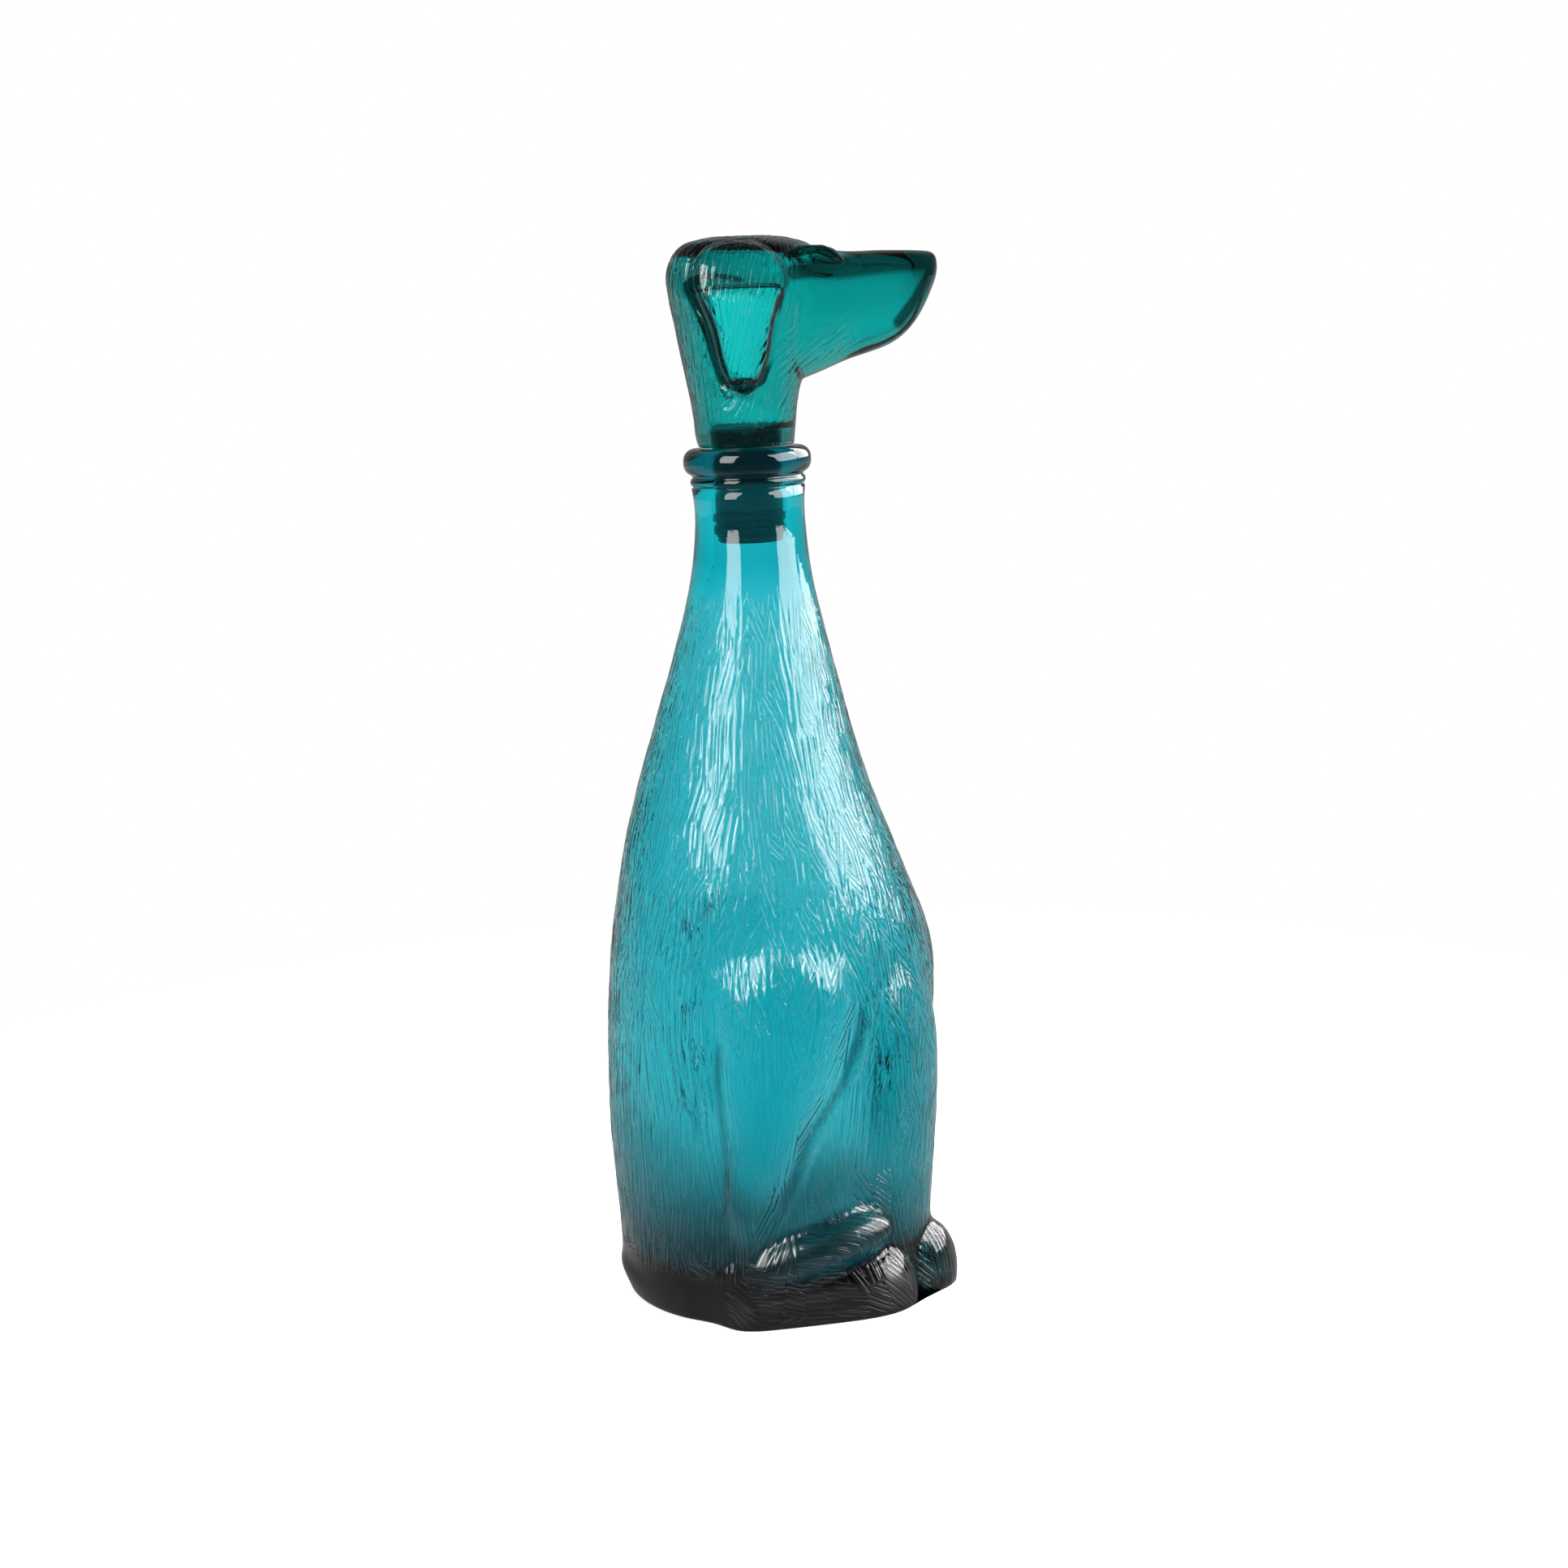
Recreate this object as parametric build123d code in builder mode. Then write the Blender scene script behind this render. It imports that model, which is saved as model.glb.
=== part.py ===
from build123d import *
import os
from math import cos, radians, sin

# A glass liquor decanter shaped as a sitting dachshund. The body is the bottle and the head is the
# stopper. Millimetres, +Z up, the dog looks along +X, and the origin is on the table below the axis
# of the neck.

# Bottle: overall sizes
body_height = 286.0
body_length = 118.0
body_width = 102.0
neck_diameter = 36.6
bore_diameter = 25.6
bore_run = 6.5
glass_wall = 4.0
floor_thickness = 13.0
ring_diameter = 44.0
ring_height = 9.4
ring_round = 4.0
collar_height = 4.2
collar_reach = 1.3
punt_diameter = 66.0
punt_depth = 3.0
cut_overrun = 5.0

# Bottle: the limbs, and how far they stand out
thigh_relief = 4.5
leg_azimuth = 34.0
foot_reach = 54.7
foot_length = 70.0
foot_width = 20.5
foot_height = 20.5
paw_length = 29.0
paw_width = 27.0
paw_height = 23.2
paw_reach = 59.5
paw_spread = 50.0
paw_azimuth = 14.0
tail_height = 16.5
tail_thickness = 17.0
tail_reach = 58.5

# Stopper: the hollow glass head
head_clearance = 0.3
head_height = 70.0
head_neck_diameter = 32.8
head_bore_diameter = 25.0
head_wall = 3.6
skull_length = 51.0
skull_width = 45.0
muzzle_reach = 68.8
muzzle_width = 36.0
ear_length = 52.0
ear_width = 31.5
ear_span = 53.0
ear_thickness = 11.0
ear_wall = 2.6
ear_rim = 1.8
ear_root = 9.0
eye_length = 16.0
eye_height = 8.4

# Stopper: the plug in the head's neck, the glue round its top, and the sleeve that seals the bottle
plug_grip = 6.0
plug_drop = 32.5
plug_diameter = 23.6
plug_core_diameter = 18.0
plug_edge = 0.6
end_disc_diameter = 23.0
end_disc_thickness = 2.0
glue_gap = 0.05
sleeve_length = 9.0
sleeve_end_play = 0.2
sleeve_turn_play = 0.05
sleeve_fit = 0.1
rib_height = 1.0
rib_count = 2
rib_share = 0.62

# Body, going up: height as a share of body_height, back reach and chest reach as shares of half the
# body's length, and half width as a share of half its width.
body_shares = [
    (0.000, 0.950, 0.800, 0.970),
    (0.030, 0.980, 0.840, 0.985),
    (0.105, 0.990, 0.870, 0.990),
    (0.210, 1.012, 0.915, 1.000),
    (0.315, 1.000, 0.970, 1.000),
    (0.400, 0.975, 1.005, 0.970),
    (0.485, 0.912, 0.905, 0.910),
    (0.575, 0.825, 0.745, 0.820),
    (0.670, 0.690, 0.592, 0.700),
    (0.760, 0.545, 0.485, 0.585),
    (0.850, 0.410, 0.388, 0.463),
]
shoulder_share = 0.93
floor_round_share = 0.80

# Hollow of the body, going up: height as a share of body_height, and the wall there as a share of
# glass_wall.
inside_shares = [
    (0.080, 1.50),
    (0.150, 1.20),
    (0.250, 1.00),
    (0.340, 1.00),
    (0.430, 1.00),
    (0.520, 1.00),
    (0.610, 1.00),
    (0.700, 1.00),
    (0.780, 1.00),
    (0.845, 1.00),
]

# Thigh, going up: height as a share of body_height, middle along the dog and half length as shares of
# half the body's length, and the share of the relief that it has there.
thigh_shares = [
    (0.085, -0.330, 0.100, 0.20),
    (0.135, -0.310, 0.150, 0.55),
    (0.185, -0.250, 0.225, 0.85),
    (0.245, -0.180, 0.290, 1.00),
    (0.300, -0.115, 0.360, 1.05),
    (0.370, -0.045, 0.445, 1.00),
    (0.415, -0.040, 0.430, 0.95),
    (0.440, -0.045, 0.360, 0.78),
    (0.456, -0.050, 0.250, 0.48),
    (0.465, -0.050, 0.110, 0.10),
]
thigh_depth_share = 0.33

# Front leg, going up: height as a share of body_height, then the distance of its middle from the neck
# axis, its half thickness and its half width as shares of half the body's length.
leg_shares = [
    (0.000, 0.655, 0.290, 0.380),
    (0.120, 0.665, 0.300, 0.400),
    (0.230, 0.710, 0.305, 0.410),
    (0.330, 0.722, 0.300, 0.400),
    (0.395, 0.700, 0.270, 0.360),
    (0.435, 0.690, 0.200, 0.280),
    (0.455, 0.685, 0.100, 0.160),
]

# Front paw, going up: shares of its height, of its half length and of its half width.
paw_shares = [
    (0.00, 0.96, 0.95),
    (0.25, 1.00, 1.00),
    (0.50, 0.95, 0.96),
    (0.74, 0.80, 0.82),
    (0.92, 0.50, 0.52),
    (1.00, 0.18, 0.18),
]

# Hind foot, from heel to toes: share of its length, shares of its height and of its width, and its
# middle as a share of foot_reach.
foot_shares = [
    (0.00, 0.24, 0.20, 0.850),
    (0.06, 0.47, 0.72, 0.820),
    (0.22, 0.58, 0.92, 0.808),
    (0.50, 0.74, 1.00, 0.804),
    (0.72, 0.93, 1.04, 0.790),
    (0.86, 1.00, 1.04, 0.750),
    (0.96, 0.78, 0.84, 0.705),
    (1.00, 0.44, 0.46, 0.685),
]
heel_share = 0.42

# Tail, from its root behind the dog round the right flank to its tip: azimuth, reach of its outside
# as a share of tail_reach, height of its middle as a share of body_height, and shares of its height
# and thickness.
tail_shares = [
    (150.0, 0.900, 0.030, 0.80, 0.60),
    (174.0, 0.995, 0.036, 1.15, 0.95),
    (198.0, 0.985, 0.028, 1.00, 0.95),
    (220.0, 0.950, 0.032, 0.98, 0.92),
    (240.0, 0.955, 0.055, 1.02, 0.96),
    (258.0, 0.970, 0.078, 1.00, 0.96),
    (276.0, 0.985, 0.092, 0.95, 0.90),
    (291.0, 1.005, 0.101, 0.92, 0.86),
    (299.0, 1.000, 0.103, 0.72, 0.66),
    (303.0, 0.985, 0.103, 0.36, 0.30),
]

# Skull, going up: height as a share of head_height, back reach and front reach as shares of half the
# skull's length, and half width as a share of half its width.
skull_shares = [
    (0.130, 0.695, 0.685, 0.765),
    (0.260, 0.740, 0.745, 0.790),
    (0.380, 0.800, 0.860, 0.850),
    (0.490, 0.850, 0.960, 0.930),
    (0.610, 0.905, 1.020, 0.990),
    (0.730, 0.960, 1.060, 1.000),
    (0.830, 0.975, 1.070, 0.940),
    (0.915, 0.890, 1.050, 0.800),
    (0.957, 0.790, 0.940, 0.660),
    (0.985, 0.620, 0.700, 0.450),
    (1.000, 0.380, 0.400, 0.240),
]
hollow_height_shares = [0.26, 0.38, 0.49, 0.61, 0.73, 0.83, 0.90]

# Muzzle, from inside the skull to the nose: share of muzzle_reach, underside and top as shares of
# head_height, and half width as a share of half its width.
muzzle_shares = [
    (0.100, 0.300, 0.900, 0.92),
    (0.270, 0.300, 0.930, 0.96),
    (0.400, 0.345, 0.930, 0.86),
    (0.520, 0.390, 0.915, 0.76),
    (0.640, 0.425, 0.912, 0.68),
    (0.750, 0.462, 0.920, 0.61),
    (0.860, 0.545, 0.932, 0.53),
    (0.945, 0.670, 0.934, 0.42),
    (0.985, 0.765, 0.922, 0.25),
    (1.000, 0.820, 0.900, 0.12),
]

# Hollow of the muzzle: share of muzzle_reach, and the wall there as a share of head_wall, which
# thickens towards the nose.
muzzle_inside_shares = [
    (0.100, 1.00),
    (0.270, 1.00),
    (0.400, 1.00),
    (0.520, 1.00),
    (0.640, 1.00),
    (0.750, 1.02),
    (0.840, 1.15),
    (0.890, 1.60),
    (0.915, 2.00),
]

# Ear, going up: share of ear_length, middle along the dog and half length as shares of half its
# width, its outside as a share of half ear_span, and its share of ear_thickness.
ear_shares = [
    (0.00, -0.23, 0.14, 0.780, 0.20),
    (0.07, -0.23, 0.30, 0.830, 0.42),
    (0.22, -0.23, 0.54, 0.900, 0.68),
    (0.40, -0.23, 0.66, 0.960, 0.88),
    (0.58, -0.24, 0.86, 1.000, 1.00),
    (0.74, -0.22, 1.02, 0.970, 1.00),
    (0.88, -0.23, 0.92, 0.860, 0.90),
    (0.96, -0.25, 0.66, 0.720, 0.66),
    (1.00, -0.23, 0.30, 0.600, 0.36),
]
ear_hollow_shares = [0.12, 0.22, 0.40, 0.58, 0.70]
ear_tip_share = 0.235

# Eye: forward as a share of muzzle_reach, up as a share of head_height, and out as a share of half
# the skull's width.
eye_forward_share = 0.385
eye_up_share = 0.895
eye_out_share = 0.49

half_length = body_length / 2
half_width = body_width / 2
half_skull_length = skull_length / 2
half_skull_width = skull_width / 2
lip_height = body_height + collar_height + ring_height
head_base = lip_height + head_clearance
plug_top = head_base + plug_grip
plug_bottom = lip_height - plug_drop
bore_start = plug_bottom - bore_run
sleeve_bottom = plug_bottom + end_disc_thickness + sleeve_end_play
sleeve_top = sleeve_bottom + sleeve_length
plug_shoulder = sleeve_top + sleeve_end_play
spigot_diameter = min(plug_diameter, head_bore_diameter - 4 * glue_gap)


def between(shares, place):
    """Read a table of shares at a place between two of its rows, along a straight line."""
    for low, high in zip(shares, shares[1:]):
        if place <= high[0]:
            part = (place - low[0]) / (high[0] - low[0])
            return [start + part * (end - start) for start, end in zip(low[1:], high[1:])]
    return list(shares[-1][1:])


def oval(plane, centre, first_radius, second_radius):
    """Draw one oval section of a loft on its plane."""
    with BuildSketch(plane) as section:
        with Locations(centre):
            Ellipse(first_radius, second_radius)
    return section.sketch


def round_section(height, diameter):
    """Draw a round section on the neck's axis."""
    return oval(Plane.XY.offset(height), (0, 0), diameter / 2, diameter / 2)


def uneven_section(height, back, front, half_across):
    """Draw a level oval that reaches back and front by different lengths."""
    middle = ((front - back) / 2, 0)
    return oval(Plane.XY.offset(height), middle, (front + back) / 2, half_across)


def body_section(share, inset=0):
    """Draw the body's section at a share of its height, drawn in by inset."""
    back, chest, width = between(body_shares, share)
    return uneven_section(
        share * body_height, back * half_length - inset, chest * half_length - inset, width * half_width - inset
    )


def body_outside():
    """Sections of the body's outside, from the table to the collar."""
    sections = [body_section(row[0]) for row in body_shares]
    sections.append(round_section(shoulder_share * body_height, neck_diameter * (2 - shoulder_share)))
    sections.append(round_section(body_height, neck_diameter))
    return sections


def body_inside():
    """Sections of the bottle's hollow, from its rounded floor to the bore."""
    back, chest, width = between(body_shares, floor_thickness / body_height)
    floor = uneven_section(
        floor_thickness,
        back * half_length * floor_round_share,
        chest * half_length * floor_round_share,
        width * half_width * floor_round_share,
    )
    sections = [floor]
    for share, wall_share in inside_shares:
        sections.append(body_section(share, inset=wall_share * glass_wall))
    sections.append(round_section(bore_start, bore_diameter))
    return sections


def thigh(side):
    """Sections of the thigh that stands out of one flank."""
    sections = []
    for share, middle, half_run, relief_share in thigh_shares:
        outside = between(body_shares, share)[2] * half_width + thigh_relief * relief_share
        half_depth = min(thigh_depth_share * half_width, half_run * half_length)
        place = (middle * half_length, side * (outside - half_depth))
        sections.append(oval(Plane.XY.offset(share * body_height), place, half_run * half_length, half_depth))
    return sections


def front_leg(side):
    """Sections of one front leg, wide round the chest's curve."""
    sections = []
    out = Vector(cos(radians(leg_azimuth)), side * sin(radians(leg_azimuth)))
    across = Vector(-side * sin(radians(leg_azimuth)), cos(radians(leg_azimuth)))
    for share, reach, half_thickness, half_run in leg_shares:
        origin = out * (reach * half_length) + Vector(0, 0, share * body_height)
        plane = Plane(origin=origin, x_dir=across, z_dir=(0, 0, 1))
        sections.append(oval(plane, (0, 0), half_run * half_length, half_thickness * half_length))
    return sections


def front_paw(side):
    """Sections of one front paw, which lies on the table."""
    sections = []
    along = Vector(cos(radians(paw_azimuth)), side * sin(radians(paw_azimuth)))
    for height_share, length_share, width_share in paw_shares:
        origin = Vector(paw_reach - paw_length / 2, side * paw_spread / 2, height_share * paw_height)
        plane = Plane(origin=origin, x_dir=along, z_dir=(0, 0, 1))
        sections.append(oval(plane, (0, 0), paw_length / 2 * length_share, paw_width / 2 * width_share))
    return sections


def hind_foot(side):
    """Sections of one hind foot, from heel to toes, each with its middle on the table."""
    sections = []
    for share, height_share, width_share, out_share in foot_shares:
        origin = Vector((share - heel_share) * foot_length, side * out_share * foot_reach)
        plane = Plane(origin=origin, x_dir=(0, 0, 1), z_dir=(1, 0, 0))
        height = height_share * foot_height
        sections.append(oval(plane, (0, 0), height, min(height, width_share * foot_width / 2)))
    return sections


def tail():
    """Sections of the tail, from its root behind the dog round to its tip."""
    sections = []
    for azimuth, reach, height, height_share, thickness_share in tail_shares:
        half_height = tail_height * height_share / 2
        half_thickness = min(half_height, tail_thickness * thickness_share / 2)
        out = Vector(cos(radians(azimuth)), sin(radians(azimuth)))
        around = Vector(-sin(radians(azimuth)), cos(radians(azimuth)))
        origin = out * (reach * tail_reach - half_thickness) + Vector(0, 0, height * body_height)
        plane = Plane(origin=origin, x_dir=(0, 0, 1), z_dir=around)
        sections.append(oval(plane, (0, 0), half_height, half_thickness))
    return sections


def skull_section(share, inset=0):
    """Draw the skull's section at a share of the head's height, drawn in by inset."""
    back, front, width = between(skull_shares, share)
    return uneven_section(
        head_base + share * head_height,
        back * half_skull_length - inset,
        front * half_skull_length - inset,
        width * half_skull_width - inset,
    )


def skull_outside():
    """Sections of the skull and the head's own neck."""
    return [round_section(head_base, head_neck_diameter)] + [skull_section(row[0]) for row in skull_shares]


def skull_inside():
    """Sections of the hollow in the skull, which runs up from the head's bore."""
    sections = [round_section(plug_top, head_bore_diameter)]
    sections.extend(skull_section(share, inset=head_wall) for share in hollow_height_shares)
    return sections


def muzzle_section(share, inset=0):
    """Draw the muzzle's section at a share of its reach, drawn in by inset."""
    underside, top, width = between(muzzle_shares, share)
    height = head_base + (underside + top) / 2 * head_height
    plane = Plane(origin=(share * muzzle_reach, 0, height), x_dir=(0, 0, 1), z_dir=(1, 0, 0))
    half_height = (top - underside) / 2 * head_height - inset
    half_across = width * muzzle_width / 2 - inset
    return oval(plane, (0, 0), half_height, min(half_height, half_across))


def muzzle_inside():
    """Sections of the hollow in the muzzle."""
    return [muzzle_section(share, inset=wall_share * head_wall) for share, wall_share in muzzle_inside_shares]


def ear(side):
    """Sections of one ear, from its tip to where it folds at the top."""
    sections = []
    for share, middle, half_run, out_share, thickness_share in ear_shares:
        half_across = half_run * ear_width / 2
        half_depth = min(half_across, thickness_share * ear_thickness / 2)
        height = head_base + ear_tip_share * head_height + share * ear_length
        place = (middle * ear_width / 2, side * (out_share * ear_span / 2 - half_depth))
        sections.append(oval(Plane.XY.offset(height), place, half_across, half_depth))
    return sections


def ear_inside(side):
    """Sections of the hollow behind one ear, which opens into the skull's hollow."""
    sections = []
    for share in ear_hollow_shares:
        middle, half_run, out_share, thickness_share = between(ear_shares, share)
        half_across = half_run * ear_width / 2 - ear_rim
        half_depth = min(half_across, ear_root / 2)
        height = head_base + ear_tip_share * head_height + share * ear_length
        place = (middle * ear_width / 2, side * (out_share * ear_span / 2 - ear_wall - half_depth))
        sections.append(oval(Plane.XY.offset(height), place, half_across, half_depth))
    return sections


# Bottle: one piece of blown glass with its limbs, its neck ring and its hollow
with BuildPart() as bottle:
    loft(body_outside())
    for side in (-1, 1):
        loft(thigh(side))
        loft(front_leg(side))
        loft(front_paw(side))
        loft(hind_foot(side))
    loft(tail())
    split(bisect_by=Plane.XY, keep=Keep.TOP)

    # The collar under the ring, and the ring that ends in the lip
    with BuildSketch(Plane.XY.offset(body_height)):
        Circle(neck_diameter / 2)
    extrude(amount=collar_height + ring_height / 2)
    with BuildSketch(Plane.XZ) as ring_profile:
        with Locations((0, body_height + collar_height)):
            Rectangle(ring_diameter / 2, ring_height, align=(Align.MIN, Align.MIN))
        fillet(ring_profile.vertices().group_by(Axis.X)[-1], radius=ring_round)
        with Locations((0, body_height + collar_height / 2)):
            Rectangle(neck_diameter / 2 + collar_reach, collar_height, align=(Align.MIN, Align.CENTER))
    revolve(axis=Axis.Z)

    # The hollow, the bore and the shallow punt under the foot
    loft(body_inside(), mode=Mode.SUBTRACT)
    with BuildSketch(Plane.XY.offset(bore_start)):
        Circle(bore_diameter / 2)
    extrude(amount=lip_height - bore_start + cut_overrun, mode=Mode.SUBTRACT)
    with BuildSketch(Plane.XZ) as punt_profile:
        with BuildLine():
            ThreePointArc((-punt_diameter / 2, 0), (0, punt_depth), (punt_diameter / 2, 0))
            Line((-punt_diameter / 2, 0), (punt_diameter / 2, 0))
        make_face()
        split(bisect_by=Plane.YZ, keep=Keep.TOP)
    revolve(axis=Axis.Z, mode=Mode.SUBTRACT)
bottle.part.label = "bottle"

# Head: hollow blown glass, open at its neck, where the plug is glued in
eye_middle = Vector(
    eye_forward_share * muzzle_reach, eye_out_share * half_skull_width, head_base + eye_up_share * head_height
)
with BuildPart() as stopper_head:
    loft(skull_outside())
    loft([muzzle_section(row[0]) for row in muzzle_shares])
    for side in (-1, 1):
        loft(ear(side))
        eye_origin = Vector(eye_middle.X, side * eye_middle.Y, eye_middle.Z)
        with BuildSketch(Plane(origin=eye_origin, x_dir=(1, 0, 0), z_dir=(0, -1, 0))):
            with BuildLine():
                EllipticalCenterArc((0, 0), eye_length / 2, eye_height / 2, 0, arc_size=180)
                Line((-eye_length / 2, 0), (eye_length / 2, 0))
            make_face()
        revolve(axis=Axis(eye_origin, (1, 0, 0)))
    loft(skull_inside(), mode=Mode.SUBTRACT)
    loft(muzzle_inside(), mode=Mode.SUBTRACT)
    for side in (-1, 1):
        loft(ear_inside(side), mode=Mode.SUBTRACT)
    with BuildSketch(Plane.XY.offset(head_base)):
        Circle(head_bore_diameter / 2)
    extrude(amount=plug_grip, mode=Mode.SUBTRACT)
stopper_head.part.label = "stopper_head"

# Plug: a moulded plastic core with a shoulder above the sleeve and an end disc below it
with BuildPart() as stopper_plug:
    with BuildSketch(Plane.XY.offset(plug_bottom)):
        Circle(end_disc_diameter / 2)
    extrude(amount=end_disc_thickness)
    with BuildSketch(Plane.XY.offset(plug_bottom + end_disc_thickness)):
        Circle(plug_core_diameter / 2)
    extrude(amount=plug_shoulder - plug_bottom - end_disc_thickness)
    with BuildSketch(Plane.XY.offset(plug_shoulder)):
        Circle(plug_diameter / 2)
    extrude(amount=head_base - plug_shoulder)
    with BuildSketch(Plane.XY.offset(head_base)):
        Circle(spigot_diameter / 2)
    extrude(amount=plug_grip)
    rims = stopper_plug.edges().filter_by(GeomType.CIRCLE)
    chamfer([rims.sort_by(Axis.Z)[0], rims.sort_by(Axis.Z)[-1]], length=plug_edge)
stopper_plug.part.label = "stopper_plug"

# Glue: the thin bed that holds the plug in the head's bore
with BuildPart() as glue_bed:
    with BuildSketch(Plane.XY.offset(head_base)):
        Circle(head_bore_diameter / 2 - glue_gap)
        Circle(spigot_diameter / 2 + glue_gap, mode=Mode.SUBTRACT)
    extrude(amount=plug_grip - plug_edge)
glue_bed.part.label = "glue_bed"

# Sleeve: soft plastic with rounded ribs that run in the bottle's bore
sleeve_bore = plug_core_diameter / 2 + sleeve_turn_play
rib_reach = bore_diameter / 2 - sleeve_fit
rib_pitch = sleeve_length / rib_count
with BuildPart() as seal_sleeve:
    with BuildSketch(Plane.XZ):
        with Locations((sleeve_bore, sleeve_bottom)):
            Rectangle(rib_reach - rib_height - sleeve_bore, sleeve_length, align=(Align.MIN, Align.MIN))
    revolve(axis=Axis.Z)
    for rib in range(rib_count):
        rib_middle = sleeve_bottom + (rib + 1 / 2) * rib_pitch
        with BuildSketch(Plane.XZ) as rib_profile:
            with Locations((sleeve_bore, rib_middle)):
                Rectangle(rib_reach - sleeve_bore, rib_pitch * rib_share, align=(Align.MIN, Align.CENTER))
            fillet(rib_profile.vertices().group_by(Axis.X)[-1], radius=rib_height * rib_share)
        revolve(axis=Axis.Z)
seal_sleeve.part.label = "seal_sleeve"

os.makedirs("parts", exist_ok=True)
export_step(bottle.part, "parts/bottle.step")
export_step(stopper_head.part, "parts/stopper_head.step")
export_step(stopper_plug.part, "parts/stopper_plug.step")
export_step(glue_bed.part, "parts/glue_bed.step")
export_step(seal_sleeve.part, "parts/seal_sleeve.step")
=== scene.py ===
import math

import bmesh
import bpy
import numpy as np
from bpy.props import FloatProperty, FloatVectorProperty, IntProperty, PointerProperty
from mathutils import Matrix, Vector
from mathutils.bvhtree import BVHTree
from mathutils.kdtree import KDTree


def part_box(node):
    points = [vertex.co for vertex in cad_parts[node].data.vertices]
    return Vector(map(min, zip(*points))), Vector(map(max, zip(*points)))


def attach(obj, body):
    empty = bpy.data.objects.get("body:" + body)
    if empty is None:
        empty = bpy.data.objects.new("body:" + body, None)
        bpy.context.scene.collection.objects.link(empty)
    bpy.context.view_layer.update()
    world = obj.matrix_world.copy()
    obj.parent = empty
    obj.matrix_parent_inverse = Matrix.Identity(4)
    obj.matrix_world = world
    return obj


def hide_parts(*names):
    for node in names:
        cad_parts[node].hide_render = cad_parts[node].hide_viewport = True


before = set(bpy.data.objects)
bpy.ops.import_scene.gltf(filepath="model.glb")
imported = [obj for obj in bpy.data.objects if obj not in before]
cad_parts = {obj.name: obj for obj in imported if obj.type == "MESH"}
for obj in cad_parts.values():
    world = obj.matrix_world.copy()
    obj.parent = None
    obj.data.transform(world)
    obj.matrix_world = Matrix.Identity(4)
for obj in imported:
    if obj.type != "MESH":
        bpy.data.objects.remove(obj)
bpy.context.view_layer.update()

bl_info = {
    "name": "Dachshund decanter",
    "version": (1, 0, 0),
    "blender": (4, 5, 0),
    "location": "3D View > Sidebar > Decanter",
    "description": "Dresses a sitting dachshund decanter of teal glass and lights it",
    "category": "Add Mesh",
}

MM = 0.001
WELD = 0.002 * MM
FAR = 0.2
UP = Vector((0, 0, 1))

bottle_low, bottle_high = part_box("bottle")
head_low, head_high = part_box("stopper_head")
plug_low, plug_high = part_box("stopper_plug")
sleeve_low, sleeve_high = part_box("seal_sleeve")
glue_low, glue_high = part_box("glue_bed")
lip_height = bottle_high.z
head_base = head_low.z
plug_bottom = plug_low.z


class BottleSettings(bpy.types.PropertyGroup):
    """Sizes and finish of the glass body."""

    columns: IntProperty(
        name="Columns", description="Columns of the outside, a multiple of four", default=640, min=64
    )
    low_step: FloatProperty(
        name="Step by the feet", description="Height between rows beside the feet", default=1.3 * MM, unit="LENGTH"
    )
    high_step: FloatProperty(
        name="Step on the body", description="Height between rows higher up", default=2.45 * MM, unit="LENGTH"
    )
    lock_size: FloatProperty(
        name="Lock width", description="Width of one lock of hair", default=10 * MM, unit="LENGTH"
    )
    groove_pitch: FloatProperty(
        name="Groove pitch", description="Distance between the carved grooves", default=2.5 * MM, unit="LENGTH"
    )
    groove_depth: FloatProperty(
        name="Groove depth", description="Depth of the carved grooves", default=0.16 * MM, unit="LENGTH"
    )
    lock_rise: FloatProperty(
        name="Lock rise", description="How far the middle of a lock stands out", default=0.30 * MM, unit="LENGTH"
    )
    hair_pitch: FloatProperty(
        name="Hair pitch in mm", description="Distance between the finest hair lines", default=1.6
    )
    tint: FloatVectorProperty(
        name="Glass tint", description="Colour that the glass lets through", subtype="COLOR",
        default=(0.0, 0.888, 0.900),
    )
    surface: FloatVectorProperty(
        name="Surface tint", description="Colour that each face of the glass lets through", subtype="COLOR",
        default=(0.8, 0.84, 0.90),
    )
    density: FloatProperty(
        name="Glass density", description="How fast the glass darkens, per metre", default=320.0
    )
    # The colour of painted shade, mixed into the surface tint
    shade_colour: FloatVectorProperty(
        name="Deep glass", description="Colour of the glass where it is thickest", subtype="COLOR",
        default=(0.0, 0.05, 0.075),
    )


class HeadSettings(bpy.types.PropertyGroup):
    """Sizes and finish of the glass head."""

    voxel: FloatProperty(
        name="Mesh size", description="Size of the head's faces", default=0.64 * MM, unit="LENGTH"
    )
    groove_pitch: FloatProperty(
        name="Groove pitch", description="Distance between the carved grooves", default=2.6 * MM, unit="LENGTH"
    )
    groove_depth: FloatProperty(
        name="Groove depth", description="Depth of the carved grooves", default=0.12 * MM, unit="LENGTH"
    )
    tint: FloatVectorProperty(
        name="Glass tint", description="Colour that the glass lets through", subtype="COLOR",
        default=(0.0, 0.889, 0.885),
    )
    surface: FloatVectorProperty(
        name="Surface tint", description="Colour that each face of the glass lets through", subtype="COLOR",
        default=(0.8, 1.0, 0.99),
    )
    density: FloatProperty(
        name="Glass density", description="How fast the glass darkens, per metre", default=900.0
    )
    # The colour of painted shade, mixed into the surface tint; the glue's band on the head takes it too
    shade_colour: FloatVectorProperty(
        name="Deep glass", description="Colour of the glass where it is thickest", subtype="COLOR",
        default=(0.0, 0.012, 0.013),
    )


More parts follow.
